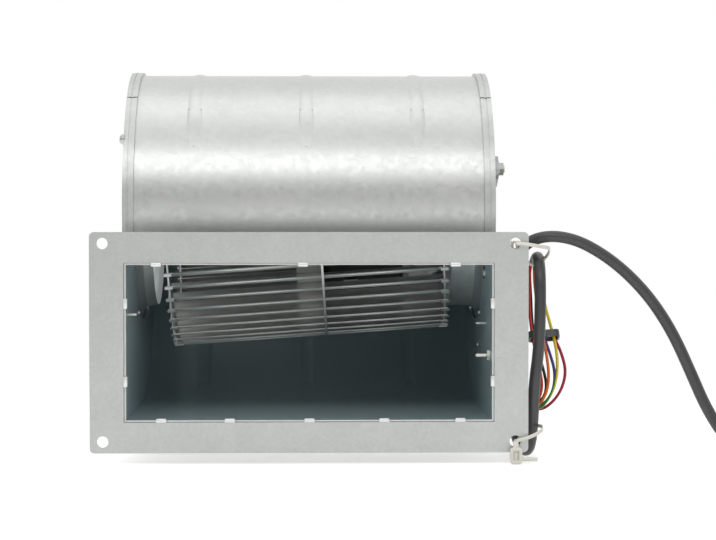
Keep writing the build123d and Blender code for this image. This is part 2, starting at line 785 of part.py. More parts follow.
# Feet: studs pressed into the side plate, rubber bushes, washers and nuts
with BuildPart() as foot_studs:
    with BuildSketch(housing_cross.offset(inner_half_width - stud_head)):
        with GridLocations(2 * foot_y, 2 * foot_z, 2, 2):
            Circle(stud_head_radius)
    extrude(amount=stud_head)
    with BuildSketch(housing_cross.offset(inner_half_width)):
        with GridLocations(2 * foot_y, 2 * foot_z, 2, 2):
            Circle(stud_radius)
    extrude(amount=side_plate + bush_height + bracket_sheet + washer_sheet + nut_height + stud_end)
foot_studs.part.label = "foot_studs"
export_step(foot_studs.part, "parts/foot_studs.step")

with BuildPart() as foot_bushes:
    with BuildSketch(housing_cross.offset(outer_face)):
        with GridLocations(2 * foot_y, 2 * foot_z, 2, 2):
            Circle(bush_radius)
            Circle(stud_radius + stud_fit, mode=Mode.SUBTRACT)
    extrude(amount=bush_height)
foot_bushes.part.label = "foot_bushes"
export_step(foot_bushes.part, "parts/foot_bushes.step")

with BuildPart() as foot_washers:
    with BuildSketch(housing_cross.offset(foot_place + bracket_sheet)):
        with GridLocations(2 * foot_y, 2 * foot_z, 2, 2):
            Circle(washer_radius)
            Circle(stud_radius + stud_fit, mode=Mode.SUBTRACT)
    extrude(amount=washer_sheet)
foot_washers.part.label = "foot_washers"
export_step(foot_washers.part, "parts/foot_washers.step")

with BuildPart() as foot_nuts:
    with BuildSketch(housing_cross.offset(foot_place + bracket_sheet + washer_sheet)):
        with GridLocations(2 * foot_y, 2 * foot_z, 2, 2):
            RegularPolygon(nut_width / 2, 6, major_radius=False)
            Circle(stud_radius, mode=Mode.SUBTRACT)
    extrude(amount=nut_height)
foot_nuts.part.label = "foot_nuts"
export_step(foot_nuts.part, "parts/foot_nuts.step")

# Leads: straight runs joined by arcs, each as large as its two runs allow
motor_route = [
    (113.4, 118.9, 54.8),
    (114.8, 114.1, 41.6),
    (118.8, 108.0, 24.0),
    (lead_clip_centre - lead_clip_half).to_tuple(),
    (lead_clip_centre + lead_clip_half).to_tuple(),
    (129.5, 84.0, -28.0),
    (137.0, 72.0, -38.5),
    (142.0, 59.5, -42.6),
    (143.0, 46.0, -43.0),
]
supply_route = [
    (144.0, 44.0, 49.0),
    (143.8, 27.0, 54.5),
    (143.2, 10.0, 45.0),
    (143.2, 7.2, 24.0),
    (142.4, 7.0, -4.0),
    (139.2, 7.2, -28.0),
    (139.0, 9.0, -50.0),
    (138.0, 17.5, -68.0),
    (135.5, 34.0, -71.2),
    (132.5, 50.0, -64.0),
    (130.0, 57.0, -44.0),
    (128.5, 58.0, -16.0),
    (129.0, 57.0, 10.0),
    (129.5, 50.0, 32.0),
    (130.5, 38.0, 46.5),
    (132.0, 27.5, 55.5),
    (137.0, 18.5, 61.5),
    (144.5, 13.0, 64.9),
    (155.5, 11.5, 65.3),
    (169.0, 11.0, 61.8),
    (185.0, 10.5, 52.5),
    (200.0, 10.0, 40.0),
    (214.0, 9.0, 24.0),
    (226.0, 7.0, 4.5),
    (236.0, 5.0, -18.0),
    (246.0, 2.0, -42.0),
    (258.0, -4.5, -61.5),
    (275.0, -11.0, -70.8),
    (293.0, -13.6, -71.3),
]
tail_route = [
    (353.9, 38.0, -64.4),
    (355.0, 46.0, -65.6),
    (358.8, 56.0, -68.6),
    (366.0, 65.5, -71.0),
    (376.0, 72.0, -71.3),
    (385.0, 75.0, -71.1),
    (393.0, 75.6, -71.2),
]
red_route = [
    (141.9, 43.7, 48.0),
    (141.8, 50.4, 45.8),
    (141.5, 54.0, 36.5),
    (141.0, 50.5, 24.5),
    (140.8, 44.0, 13.0),
    (141.6, 38.0, 2.2),
    (143.4, 33.4, -9.6),
    (146.2, 30.6, -21.0),
    (147.2, 29.6, -31.5),
    (144.4, 31.0, -39.6),
    (141.9, 37.6, -41.4),
    (141.9, 46.0, -40.9),
]
yellow_green_route = [
    (146.1, 43.7, 48.0),
    (146.4, 50.4, 45.6),
    (148.0, 54.0, 35.5),
    (150.4, 50.5, 23.0),
    (153.2, 44.5, 11.5),
    (155.4, 38.5, 1.0),
    (157.2, 34.0, -10.5),
    (156.8, 31.0, -22.5),
    (153.6, 29.6, -34.0),
    (147.4, 30.4, -43.0),
    (142.3, 37.2, -46.0),
    (141.9, 46.0, -45.1),
]
black_route = [
    (141.9, 44.3, 50.0),
    (141.9, 52.6, 47.4),
    (142.2, 57.8, 38.5),
    (142.6, 54.5, 25.5),
    (142.4, 48.0, 13.5),
    (142.8, 42.0, 2.5),
    (145.4, 38.4, -9.4),
    (149.0, 36.4, -20.5),
    (150.8, 35.8, -31.0),
    (148.4, 37.0, -38.6),
    (144.6, 41.2, -41.2),
    (144.1, 46.0, -40.9),
]
crimson_route = [
    (146.1, 44.3, 50.0),
    (146.5, 52.6, 47.2),
    (148.4, 57.8, 37.5),
    (150.8, 54.5, 24.0),
    (153.4, 48.5, 12.0),
    (155.6, 42.5, 1.5),
    (160.4, 39.0, -9.0),
    (163.4, 37.0, -21.5),
    (159.6, 36.6, -34.4),
    (151.8, 37.6, -43.4),
    (145.4, 40.8, -46.0),
    (144.1, 46.0, -45.1),
]


def route_between(one, other):
    """A route that runs midway between two others."""
    return [tuple((a + b) / 2 for a, b in zip(*pair)) for pair in zip(one, other)]


def bend_radii(route):
    """Radius at each inner point of a route, as large as its two runs allow."""
    points = [Vector(*point) for point in route]
    radii = []
    for before, here, after in zip(points, points[1:], points[2:]):
        shorter = min((here - before).length, (after - here).length)
        half_turn = (here - before).get_angle(after - here) / 2
        radii.append(bend_share * shorter / tan(radians(half_turn)))
    return radii


leads = [
    ("motor_lead", motor_route, sheath_radius),
    ("supply_cable", supply_route, sheath_radius),
    ("supply_tail", tail_route, sheath_radius),
    ("core_red", red_route, core_radius),
    ("core_orange", route_between(red_route, yellow_green_route), core_radius),
    ("core_yellow_green", yellow_green_route, core_radius),
    ("core_black", black_route, core_radius),
    ("core_violet", route_between(black_route, crimson_route), core_radius),
    ("core_crimson", crimson_route, core_radius),
]
for name, route, radius in leads:
    radii = bend_radii(route)
    with BuildPart() as lead:
        with BuildLine() as course:
            FilletPolyline(*route, radius=radii)
        with BuildSketch(Plane(origin=course.line @ 0, z_dir=course.line % 0)):
            Circle(radius)
        sweep()
    length = sum(edge.length for edge in course.edges())
    share = lead.part.volume / (pi * radius**2 * length)
    print(name, "length", round(length, 1), "volume share", round(share, 4))
    print("  radii", [round(bend, 1) for bend in radii])
    lead.part.label = name
    export_step(lead.part, f"parts/{name}.step")

# Strain relief: a moulded elbow in the motor flange's bore, tapering towards the lead
lead_start = Vector(*motor_route[0])
elbow_centre = pivot + line_direction * gland_elbow_place
with BuildPart() as lead_gland:
    with BuildSketch(rotor_cross.offset(pad_start)):
        Circle(gland_seat_radius)
    extrude(amount=pad_thickness)
    with BuildSketch(rotor_cross.offset(pad_place)):
        Circle(gland_collar_radius)
    extrude(amount=gland_collar)
    with BuildSketch(rotor_cross.offset(pad_place)):
        Circle(gland_neck_radius)
    extrude(amount=gland_elbow_place - pad_place)
    with Locations(elbow_centre):
        Sphere(gland_elbow_radius)
    with BuildSketch(Plane(origin=lead_start, z_dir=elbow_centre - lead_start)):
        Circle(gland_tip_radius)
    extrude(amount=(elbow_centre - lead_start).length, taper=-gland_taper)
lead_gland.part.label = "lead_gland"
export_step(lead_gland.part, "parts/lead_gland.step")

# Clip that holds the motor's lead off the side plate, and its rivet
clip_plane = Plane(origin=lead_clip_centre, x_dir=(1, 0, 0), z_dir=-lead_clip_run)
clip_inner = sheath_radius + clip_fit
with BuildPart() as lead_clip:
    with BuildSketch(clip_plane):
        with Locations((-clip_stand, 0)):
            Rectangle(clip_stand, 2 * clip_wall, align=(Align.MIN, Align.CENTER))
        with Locations((-clip_stand, clip_wall)):
            Rectangle(clip_wall, clip_foot, align=(Align.MIN, Align.MAX))
        Circle(clip_inner + clip_wall)
        Circle(clip_inner, mode=Mode.SUBTRACT)
    extrude(amount=clip_band / 2, both=True)
    with BuildSketch(Plane.YZ.offset(outer_face)):
        with Locations((clip_rivet.Y, clip_rivet.Z)):
            Circle(rivet_radius)
    extrude(amount=clip_wall, mode=Mode.SUBTRACT)
lead_clip.part.label = "lead_clip"
export_step(lead_clip.part, "parts/lead_clip.step")

with BuildPart() as clip_rivet_part:
    with BuildSketch(Plane.YZ.offset(inner_half_width - rivet_head)):
        with Locations((clip_rivet.Y, clip_rivet.Z)):
            Circle(rivet_head_radius)
    extrude(amount=rivet_head)
    with BuildSketch(Plane.YZ.offset(inner_half_width)):
        with Locations((clip_rivet.Y, clip_rivet.Z)):
            Circle(rivet_radius)
    extrude(amount=side_plate + clip_wall)
    with BuildSketch(Plane.YZ.offset(outer_face + clip_wall)):
        with Locations((clip_rivet.Y, clip_rivet.Z)):
            Circle(rivet_head_radius)
    extrude(amount=rivet_head, taper=20)
clip_rivet_part.part.label = "clip_rivet"
export_step(clip_rivet_part.part, "parts/clip_rivet.step")

# Band that gathers the conductors, square to their fall
band_run = Vector(0.9, -5.2, -11.0).normalized()
band_corner = core_radius + band_fit
with BuildPart() as core_band:
    with BuildSketch(Plane(origin=band_centre, x_dir=(1, 0, 0), z_dir=band_run)):
        band_length = crimson_route[5][0] - red_route[5][0] + 2 * (core_radius + band_fit)
        band_depth = black_route[5][1] - red_route[5][1] + 2 * (core_radius + band_fit)
        RectangleRounded(band_length + 2 * band_wall, band_depth + 2 * band_wall, band_corner + band_wall)
        RectangleRounded(band_length, band_depth, band_corner, mode=Mode.SUBTRACT)
    extrude(amount=band_height / 2, both=True)
core_band.part.label = "core_band"
export_step(core_band.part, "parts/core_band.step")

# Cable ties: straps from the right-hand holes round the flange's edge and the cable
tie_start = hole_pitch_x / 2 + hole_radius + tie_fit
ties = [
    ("top", tie_top_height, tie_top_reach),
    ("bottom", tie_bottom_height, tie_bottom_reach),
]
for name, height, reach in ties:
    with BuildPart() as cable_tie:
        with BuildSketch(Plane.XY.offset(height - tie_width / 2)):
            with BuildLine():
                FilletPolyline(
                    (tie_start, -tie_wall / 2),
                    (tie_edge, -tie_wall / 2),
                    (tie_outside, tie_edge_back),
                    (tie_outside, reach - tie_corner),
                    (tie_outside - tie_corner, reach),
                    (tie_start + tie_wall / 2, reach),
                    (tie_start + tie_wall / 2, flange_sheet),
                    radius=tie_bend,
                )
            trace(line_width=tie_wall)
        extrude(amount=tie_width)
        if name == "bottom":
            head_top = -hole_pitch_z / 2 - hole_radius
            with BuildSketch(Plane.XZ):
                with Locations((tie_start, head_top)):
                    Rectangle(tie_head_width, tie_head_height, align=(Align.MAX, Align.MAX))
            extrude(amount=tie_head_depth)
            with BuildSketch(Plane.XZ):
                with Locations((tie_start, tie_bottom_height)):
                    Rectangle(tie_width, tie_bottom_height - head_top + tie_width, align=(Align.MIN, Align.MAX))
            extrude(amount=tie_wall)
    cable_tie.part.label = f"tie_{name}"
    export_step(cable_tie.part, f"parts/tie_{name}.step")

# Coil of the supply cable: the outer shape of turns two wide and two high
coil_half_width = 2 * sheath_radius + coil_fit
with BuildPart() as supply_coil:
    with BuildSketch(Plane.XY.offset(floor_level)):
        with Locations(coil_centre):
            Circle(coil_radius + coil_half_width)
            Circle(coil_radius - coil_half_width, mode=Mode.SUBTRACT)
    extrude(amount=2 * coil_half_width)
    fillet(supply_coil.edges().filter_by(GeomType.CIRCLE), sheath_radius)
supply_coil.part.label = "supply_coil"
export_step(supply_coil.part, "parts/supply_coil.step")

# Connector: a six-way housing with its latch, lying flat at the tail's end
connector_start = Vector(*tail_route[-1])
connector_centre = (connector_start.Y, floor_level + connector_height / 2)
with BuildPart() as connector:
    with BuildSketch(Plane.YZ.offset(connector_start.X)):
        with Locations(connector_centre):
            RectangleRounded(connector_width, connector_height, connector_wall)
    extrude(amount=connector_length)
    with BuildSketch(Plane.YZ.offset(connector_start.X + connector_length - cavity_depth)):
        with Locations(connector_centre):
            with GridLocations(
                (connector_width - connector_wall) / 3, (connector_height - connector_wall) / 2, 3, 2
            ):
                Rectangle(
                    (connector_width - connector_wall) / 3 - connector_wall,
                    (connector_height - connector_wall) / 2 - connector_wall,
                )
    extrude(amount=cavity_depth, mode=Mode.SUBTRACT)
    with BuildSketch(Plane.YZ.offset(connector_start.X + latch_start)):
        with Locations((connector_start.Y, floor_level + connector_height)):
            Rectangle(latch_width, latch_height, align=(Align.CENTER, Align.MIN))
    extrude(amount=connector_length - latch_start - latch_setback)
connector.part.label = "connector"
export_step(connector.part, "parts/connector.step")
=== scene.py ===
"""Looks of a double-inlet centrifugal fan: galvanised housing, drum impeller, leads and ties.

Everything is in metres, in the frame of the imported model: the origin is the centre of the outlet
flange's front face, the air leaves along -Y and the motor sits in the inlet at +X. Sizes that are
written out here are in millimetres, and MM turns them to metres.
"""
import math

import bpy
import numpy as np
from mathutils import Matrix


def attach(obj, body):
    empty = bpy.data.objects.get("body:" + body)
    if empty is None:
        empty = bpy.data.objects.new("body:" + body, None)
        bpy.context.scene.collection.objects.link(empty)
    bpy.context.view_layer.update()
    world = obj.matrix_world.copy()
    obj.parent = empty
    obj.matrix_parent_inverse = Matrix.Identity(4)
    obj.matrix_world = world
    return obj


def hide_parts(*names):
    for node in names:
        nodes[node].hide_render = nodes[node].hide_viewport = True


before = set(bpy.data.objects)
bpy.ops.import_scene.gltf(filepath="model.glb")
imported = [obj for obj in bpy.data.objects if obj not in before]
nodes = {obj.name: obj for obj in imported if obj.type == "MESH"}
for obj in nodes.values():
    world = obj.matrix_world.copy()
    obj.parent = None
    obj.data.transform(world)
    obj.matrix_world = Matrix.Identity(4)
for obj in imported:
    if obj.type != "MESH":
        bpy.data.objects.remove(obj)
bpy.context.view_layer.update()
scene = bpy.context.scene
MM = 0.001
FULL_TURN = 2 * math.pi

# Sizes that the pieces made here share with the solids, in millimetres
SHEATH_RADIUS = 3.6
CORE_RADIUS = 0.95
COIL_CENTRE = (310.0, 30.0)
COIL_RADIUS = 40.0
FLOOR_LEVEL = -75.0
SIDE_FACE = 112.6

# Camera: the photograph's view, square to the flange and a little above its centre
LOOKS_DOWN = 1.524
LOOKS_RIGHT = 1.425
camera_data = bpy.data.cameras.new("camera")
camera_data.lens = 98.25
camera_data.sensor_width = 36.0
camera_data.clip_start = 0.05
camera_data.clip_end = 30.0
camera = bpy.data.objects.new("camera", camera_data)
camera.location = (0.0, -1.2, 0.0766)
camera.rotation_euler = (math.radians(90 - LOOKS_DOWN), 0.0, math.radians(-LOOKS_RIGHT))
scene.collection.objects.link(camera)
scene.camera = camera


# Lines and surfaces
def smooth_line(points):
    """Points in metres on a quadratic B-spline that has the given millimetre points as its controls."""
    curve = bpy.data.curves.new("line", "CURVE")
    curve.dimensions = "3D"
    curve.resolution_u = 10
    spline = curve.splines.new("NURBS")
    spline.points.add(len(points) - 1)
    flat = np.ones((len(points), 4))
    flat[:, :3] = np.asarray(points) * MM
    spline.points.foreach_set("co", flat.ravel())
    spline.order_u = 3
    spline.use_endpoint_u = True
    holder = bpy.data.objects.new("line", curve)
    mesh = bpy.data.meshes.new_from_object(holder)
    line = np.empty(len(mesh.vertices) * 3)
    mesh.vertices.foreach_get("co", line)
    bpy.data.objects.remove(holder)
    bpy.data.curves.remove(curve)
    bpy.data.meshes.remove(mesh)
    return line.reshape(-1, 3)


def lengths_along(line):
    """Distance from the first point of a line to each of its points: the running sum of its steps."""
    steps = np.linalg.norm(np.diff(line, axis=0), axis=1)
    return np.concatenate([[0.0], np.cumsum(steps)])


def directions(line):
    """Unit direction of a line at each point: the difference of its two neighbours."""
    along = np.gradient(line, axis=0)
    return along / np.linalg.norm(along, axis=1, keepdims=True)


def cross_frames(line):
    """Two unit vectors across a line at each point: each is the last one, made square to the line."""
    along = directions(line)
    side = np.empty_like(line)
    start = np.cross(along[0], (0.0, 0.0, 1.0))
    if np.linalg.norm(start) < 0.1:
        start = np.cross(along[0], (0.0, 1.0, 0.0))
    side[0] = start / np.linalg.norm(start)
    for ring in range(1, len(line)):
        across = side[ring - 1] - along[ring] * (side[ring - 1] @ along[ring])
        side[ring] = across / np.linalg.norm(across)
    return side, np.cross(along, side)


def surface(name, grid, body, material, caps=False, loop=False, uv=None, smooth=True):
    """A piece from a grid of points in metres: rows run along it, and columns go round it and close.

    grid is (rows, columns, 3), or (copies, rows, columns, 3) for one shape that repeats. loop closes
    the rows, and caps closes the first and the last row with flat faces. uv is each row's distance
    along the piece; v runs from 0 to 1 round it. The faces point outwards: where the volume under
    them, the sum of the corners' triple products, comes out negative, they are turned round.
    """
    grids = grid if grid.ndim == 4 else grid[None]
    copies, rows, columns = grids.shape[:3]
    points = grids.reshape(-1, 3)
    copy, row, column = np.meshgrid(
        np.arange(copies), np.arange(rows if loop else rows - 1), np.arange(columns), indexing="ij"
    )
    below = (copy * rows + row) * columns
    above = (copy * rows + (row + 1) % rows) * columns
    beside = (column + 1) % columns
    corners = [below + column, below + beside, above + beside, above + column]
    faces = np.stack(corners, axis=-1).reshape(-1, 4)
    polygons = faces.tolist()
    if caps:
        ring = np.arange(columns)
        for first in np.arange(copies) * rows * columns:
            polygons += [(first + ring[::-1]).tolist(), (first + (rows - 1) * columns + ring).tolist()]
    mesh = bpy.data.meshes.new(name)
    mesh.from_pydata(points.tolist(), [], polygons)
    mesh.polygons.foreach_set("use_smooth", (np.arange(len(polygons)) < len(faces)) & smooth)
    if uv is not None:
        along = np.stack([uv[row], uv[row], uv[row + 1], uv[row + 1]], axis=-1)
        across = np.stack([column, column + 1, column + 1, column], axis=-1) / columns
        places = np.zeros((len(mesh.loops), 2))
        places[: faces.size] = np.stack([along, across], axis=-1).reshape(-1, 2)
        mesh.uv_layers.new(name="UVMap").data.foreach_set("uv", places.ravel())
    mesh.validate()
    mesh.update()
    first, second, third, fourth = (points[faces[:, place]] for place in range(4))
    volume = np.einsum("ij,ij->", first, np.cross(second - first, fourth - first))
    volume += np.einsum("ij,ij->", third, np.cross(fourth - third, second - third))
    if volume < 0:
        mesh.flip_normals()
    mesh.materials.append(material)
    piece = bpy.data.objects.new(name, mesh)
    scene.collection.objects.link(piece)
    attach(piece, body)
    return piece


def tube(name, line, radius, sides, material):
    """A circle carried along a line: point + radius * (cos * side + sin * up), with the length as u."""
    side, up = cross_frames(line)
    turn = np.linspace(0.0, FULL_TURN, sides, endpoint=False)
    ring = np.cos(turn)[None, :, None] * side[:, None] + np.sin(turn)[None, :, None] * up[:, None]
    grid = line[:, None] + radius * MM * ring
    return surface(name, grid, "housing", material, caps=True, uv=lengths_along(line))


# Materials
def linear(code):
    """Linear colour of an sRGB hex value."""
    parts = np.array([int(code[place:place + 2], 16) for place in (1, 3, 5)]) / 255
    parts = np.where(parts <= 0.04045, parts / 12.92, ((parts + 0.055) / 1.055) ** 2.4)
    return (*parts.tolist(), 1.0)


def connect(tree, node, **inputs):
    """Fills a node's inputs with values, or links them where the value is a (node, output) pair.

    In an input's name _ stands for a space. i0, i1 and so on are inputs by number, where names repeat.
    """
    for key, value in inputs.items():
        by_number = key[0] == "i" and key[1:].isdigit()
        socket = node.inputs[int(key[1:]) if by_number else key.replace("_", " ")]
        if isinstance(value, tuple) and len(value) == 2:
            tree.links.new(value[0].outputs[value[1]], socket)
        else:
            socket.default_value = value


def add_node(tree, kind, settings=None, **inputs):
    """Adds a node with its settings, and connects its inputs."""
    node = tree.nodes.new(kind)
    for key, value in (settings or {}).items():
        setattr(node, key, value)
    connect(tree, node, **inputs)
    return node


def new_finish(name, **values):
    """A material with its shader's fixed values: its tree, its shader and its texture coordinates."""
    material = bpy.data.materials.new(name)
    material.use_nodes = True
    tree = material.node_tree
    shader = tree.nodes["Principled BSDF"]
    connect(tree, shader, **values)
    return material, tree, shader, add_node(tree, "ShaderNodeTexCoord")


# Inside faces of the sheets, which take the painted shade: past DUCT_END, in metres, lies the scroll,
# whose middle is at the given depth and height; before it lies the duct, whose middle is at the height
# of the origin
INSIDE_METALLIC = 0.5
DUCT_END = 0.055
SCROLL_MIDDLE = (0.127, 0.06)

# How much of the zinc's tone comes from the crystals, and where its ramp leaves the dark end
CRYSTAL_SHARE = 0.35
RAMP_START = 0.3
BUMP_DEPTH = 0.1 * MM


def zinc_sheet(
    name, light, dark, spangle, roughness, cloud_size, shade=None, face_at=None, metallic=0.85
):
    """Hot-dip galvanised sheet: zinc crystals a few millimetres wide differ a little in grey and sheen.

    spangle is the crystals' width and cloud_size that of the broad clouds, in millimetres. A fine
    grain, 1.2 mm wide, takes the mirror off the sheet. shade is a painted shade: a darker, bluer grey
    on the faces inside, those whose normal points towards the scroll's axis, or in the duct towards its
    middle. Where face_at is given, only the flat face that far to either side of the housing's middle
    has it.
    """
    grain_size, grain_strength, face_tolerance = 1.2, 0.04, 0.3
    material, tree, shader, place = new_finish(name, Metallic=metallic)
    crystals = add_node(
        tree, "ShaderNodeTexVoronoi", {"feature": "F1"},
        Vector=(place, "Object"), Scale=1 / (spangle * MM), Randomness=1.0,
    )
    cloud = add_node(
        tree, "ShaderNodeTexNoise",
        Vector=(place, "Object"), Scale=1 / (cloud_size * MM), Detail=4.0, Roughness=0.6,
    )
    grey = add_node(tree, "ShaderNodeSeparateColor", Color=(crystals, "Color"))
    both = add_node(
        tree, "ShaderNodeMath", {"operation": "MULTIPLY_ADD"},
        i0=(grey, "Red"), i1=CRYSTAL_SHARE, i2=(cloud, "Fac"),
    )
    tone = add_node(tree, "ShaderNodeValToRGB", Fac=(both, "Value"))
    darkest, lightest = tone.color_ramp.elements
    darkest.position, darkest.color = RAMP_START, linear(dark)
    lightest.position, lightest.color = 1.0, linear(light)
    sheen = add_node(
        tree, "ShaderNodeMapRange",
        Value=(grey, "Green"), To_Min=roughness - 0.03, To_Max=roughness + 0.04,
    )
    grain = add_node(
        tree, "ShaderNodeTexNoise", Vector=(place, "Object"), Scale=1 / (grain_size * MM), Detail=3.0
    )
    bump = add_node(
        tree, "ShaderNodeBump", Strength=grain_strength, Distance=BUMP_DEPTH, Height=(grain, "Fac")
    )
    connect(
        tree, shader,
        Base_Color=(tone, "Color"), Roughness=(sheen, "Result"), Normal=(bump, "Normal"),
    )
    if not shade:
        return material
    geometry = add_node(tree, "ShaderNodeNewGeometry")
    split = add_node(tree, "ShaderNodeSeparateXYZ", Vector=(place, "Object"))
    in_scroll = add_node(
        tree, "ShaderNodeMath", {"operation": "GREATER_THAN"}, i0=(split, "Y"), i1=DUCT_END
    )
    height = add_node(
        tree, "ShaderNodeMath", {"operation": "MULTIPLY"}, i0=(in_scroll, "Value"), i1=SCROLL_MIDDLE[1]
    )
    middle = add_node(tree, "ShaderNodeCombineXYZ", Y=SCROLL_MIDDLE[0], Z=(height, "Value"))
    away = add_node(
        tree, "ShaderNodeVectorMath", {"operation": "SUBTRACT"},
        i0=(place, "Object"), i1=(middle, "Vector"),
    )
    outward = add_node(
        tree, "ShaderNodeVectorMath", {"operation": "DOT_PRODUCT"},
        i0=(away, "Vector"), i1=(geometry, "True Normal"),
    )
    inside = add_node(
        tree, "ShaderNodeMath", {"operation": "LESS_THAN"}, i0=(outward, "Value"), i1=0.0
    )
    if face_at:
        aside = add_node(tree, "ShaderNodeMath", {"operation": "ABSOLUTE"}, i0=(split, "X"))
        flat_face = add_node(
            tree, "ShaderNodeMath", {"operation": "COMPARE"},
            i0=(aside, "Value"), i1=face_at * MM, i2=face_tolerance * MM,
        )
        inside = add_node(
            tree, "ShaderNodeMath", {"operation": "MULTIPLY"},
            i0=(inside, "Value"), i1=(flat_face, "Value"),
        )
    # Painted shade: the inside faces take the darker, bluer shade colour in place of the zinc's tone
    painted_shade_tone = add_node(
        tree, "ShaderNodeMix", {"data_type": "RGBA"},
        Factor=(inside, "Value"), i6=(tone, "Color"), i7=linear(shade),
    )
    dullness = add_node(
        tree, "ShaderNodeMapRange", Value=(inside, "Value"), To_Min=metallic, To_Max=INSIDE_METALLIC
    )
    connect(tree, shader, Base_Color=(painted_shade_tone, 2), Metallic=(dullness, "Result"))
    return material


def clouded(name, light, dark, cloud_size, cloud_detail, grain_size, bump_strength, **values):
    """Two near tones in broad clouds, and a bump from a fine grain, with both sizes in millimetres.

    Gives back the material, its tree and shader, and its cloud and grain, for the sheen.
    """
    material, tree, shader, place = new_finish(name, **values)
    cloud = add_node(
        tree, "ShaderNodeTexNoise",
        Vector=(place, "Object"), Scale=1 / (cloud_size * MM), Detail=cloud_detail,
    )
    grain = add_node(
        tree, "ShaderNodeTexNoise", Vector=(place, "Object"), Scale=1 / (grain_size * MM), Detail=2.0
    )
    tone = add_node(
        tree, "ShaderNodeMix", {"data_type": "RGBA"},
        Factor=(cloud, "Fac"), i6=linear(dark), i7=linear(light),
    )
    bump = add_node(
        tree, "ShaderNodeBump", Strength=bump_strength, Distance=BUMP_DEPTH, Height=(grain, "Fac")
    )
    connect(tree, shader, Base_Color=(tone, 2), Normal=(bump, "Normal"))
    return material, tree, shader, cloud, grain


def worked_metal(name, light, dark, grain_size, roughness, metallic=1.0, bump_strength=0.15):
    """A cast, plated or drawn metal: a fine grain, and clouds 18 mm wide where handling dulls it."""
    material, tree, shader, cloud, _ = clouded(
        name, light, dark, cloud_size=18.0, cloud_detail=5.0, grain_size=grain_size,
        bump_strength=bump_strength, Metallic=metallic,
    )
    sheen = add_node(
        tree, "ShaderNodeMapRange",
        Value=(cloud, "Fac"), To_Min=roughness + 0.08, To_Max=roughness - 0.06,
    )
    connect(tree, shader, Roughness=(sheen, "Result"))
    return material


def moulded(name, light, dark, grain_size, roughness, bump_strength=0.1):
    """Rubber or plastic from a mould or die: an even colour, faint dust 9 mm wide and a fine grain."""
    material, tree, shader, _, grain = clouded(
        name, light, dark, cloud_size=9.0, cloud_detail=4.0, grain_size=grain_size,
        bump_strength=bump_strength, IOR=1.5,
    )
    sheen = add_node(
        tree, "ShaderNodeMapRange",
        Value=(grain, "Fac"), To_Min=roughness - 0.06, To_Max=roughness + 0.08,
    )
    connect(tree, shader, Roughness=(sheen, "Result"))
    return material


def earth_wire(name):
    """Protective earth wire: extruded yellow PVC with a green band that covers a third of its girth.

    The band goes once round in 111 mm: it is where the fraction of 9 * u + v is below its share.
    """
    material, tree, shader, place = new_finish(name, IOR=1.5, Roughness=0.38)
    turns_per_metre, share_of_girth = 9.0, 0.34
    split = add_node(tree, "ShaderNodeSeparateXYZ", Vector=(place, "UV"))
    twist = add_node(
        tree, "ShaderNodeMath", {"operation": "MULTIPLY_ADD"},
        i0=(split, "X"), i1=turns_per_metre, i2=(split, "Y"),
    )
    share = add_node(tree, "ShaderNodeMath", {"operation": "FRACT"}, i0=(twist, "Value"))
    band = add_node(
        tree, "ShaderNodeMath", {"operation": "LESS_THAN"}, i0=(share, "Value"), i1=share_of_girth
    )
    tone = add_node(
        tree, "ShaderNodeMix", {"data_type": "RGBA"},
        Factor=(band, "Value"), i6=linear("#E3CC1C"), i7=linear("#2E8B3A"),
    )
    connect(tree, shader, Base_Color=(tone, 2))
    return material


# Hot-dip galvanised sheet, temper rolled: pale satin grey with crystals just visible, and a painted
# shade, darker and bluer, on the faces inside
galvanised_scroll = zinc_sheet(
    "galvanised_scroll_sheet", "#CFD0CE", "#C4C6C3", 3.0, 0.36, 40.0, shade="#AFC1C5"
)
# The same sheet, flat and cut: a shade darker and more matt from handling, with a painted shade, darker
# and bluer, on the inner flat face
galvanised_side = zinc_sheet(
    "galvanised_side_sheet", "#CACCC9", "#BCBFBC", 3.0, 0.40, 40.0, shade="#AFC1C5", face_at=SIDE_FACE
)
# The same sheet, pressed to a bell: the stretched zinc scatters more light and reflects less, and a
# painted shade, a darker grey, lies on the faces that point inwards
galvanised_nozzle = zinc_sheet(
    "pressed_nozzle_sheet", "#CFD1CF", "#C0C3C1", 3.0, 0.42, 40.0, shade="#A4A9AA", metallic=0.6
)
# Galvanised strip, rolled and punched: a thin coat with small crystals, the most matt of the sheets
galvanised_frame = zinc_sheet("galvanised_flange_sheet", "#C3C5C2", "#B8BAB7", 1.8, 0.46, 30.0)
# Galvanised strip, slit and bent to blades: an even soft grey without a crystal pattern
blade_strip = worked_metal(
    "galvanised_blade_strip", "#D6D6D3", "#B4B6B2", 0.6, 0.36, metallic=0.6, bump_strength=0.08
)
# The lugs' folds, coloured nearly white: a painted highlight where each fold catches the light
lug_fold_highlight = worked_metal(
    "lug_fold_painted_highlight", "#F0F1EE", "#DADCD8", 0.6, 0.30, metallic=0.5, bump_strength=0.05
)
# The blades' rolled lips, coloured lighter than the blades: a painted highlight, a light line along each
# blade
blade_lip_highlight = worked_metal(
    "blade_lip_painted_highlight", "#E4E4E1", "#CBCCC8", 0.6, 0.34, metallic=0.5, bump_strength=0.05
)
# Drawn steel in a dip coat: near black, half matt, with faint clouds
can_coat = worked_metal("dip_coated_drawn_steel", "#3A3D3E", "#232627", 0.5, 0.42, metallic=0.6)
# Die-cast aluminium, blasted: mid grey with the most grain of all the metals here
cast_alloy = worked_metal("die_cast_aluminium", "#B9BBBA", "#9A9C9B", 0.35, 0.46, bump_strength=0.35)
# Steel with electroplated bright zinc: silvery, with clear highlights on the small parts
zinc_plate = worked_metal("bright_zinc_plated_steel", "#CFCFC9", "#A9AAA4", 0.3, 0.28)
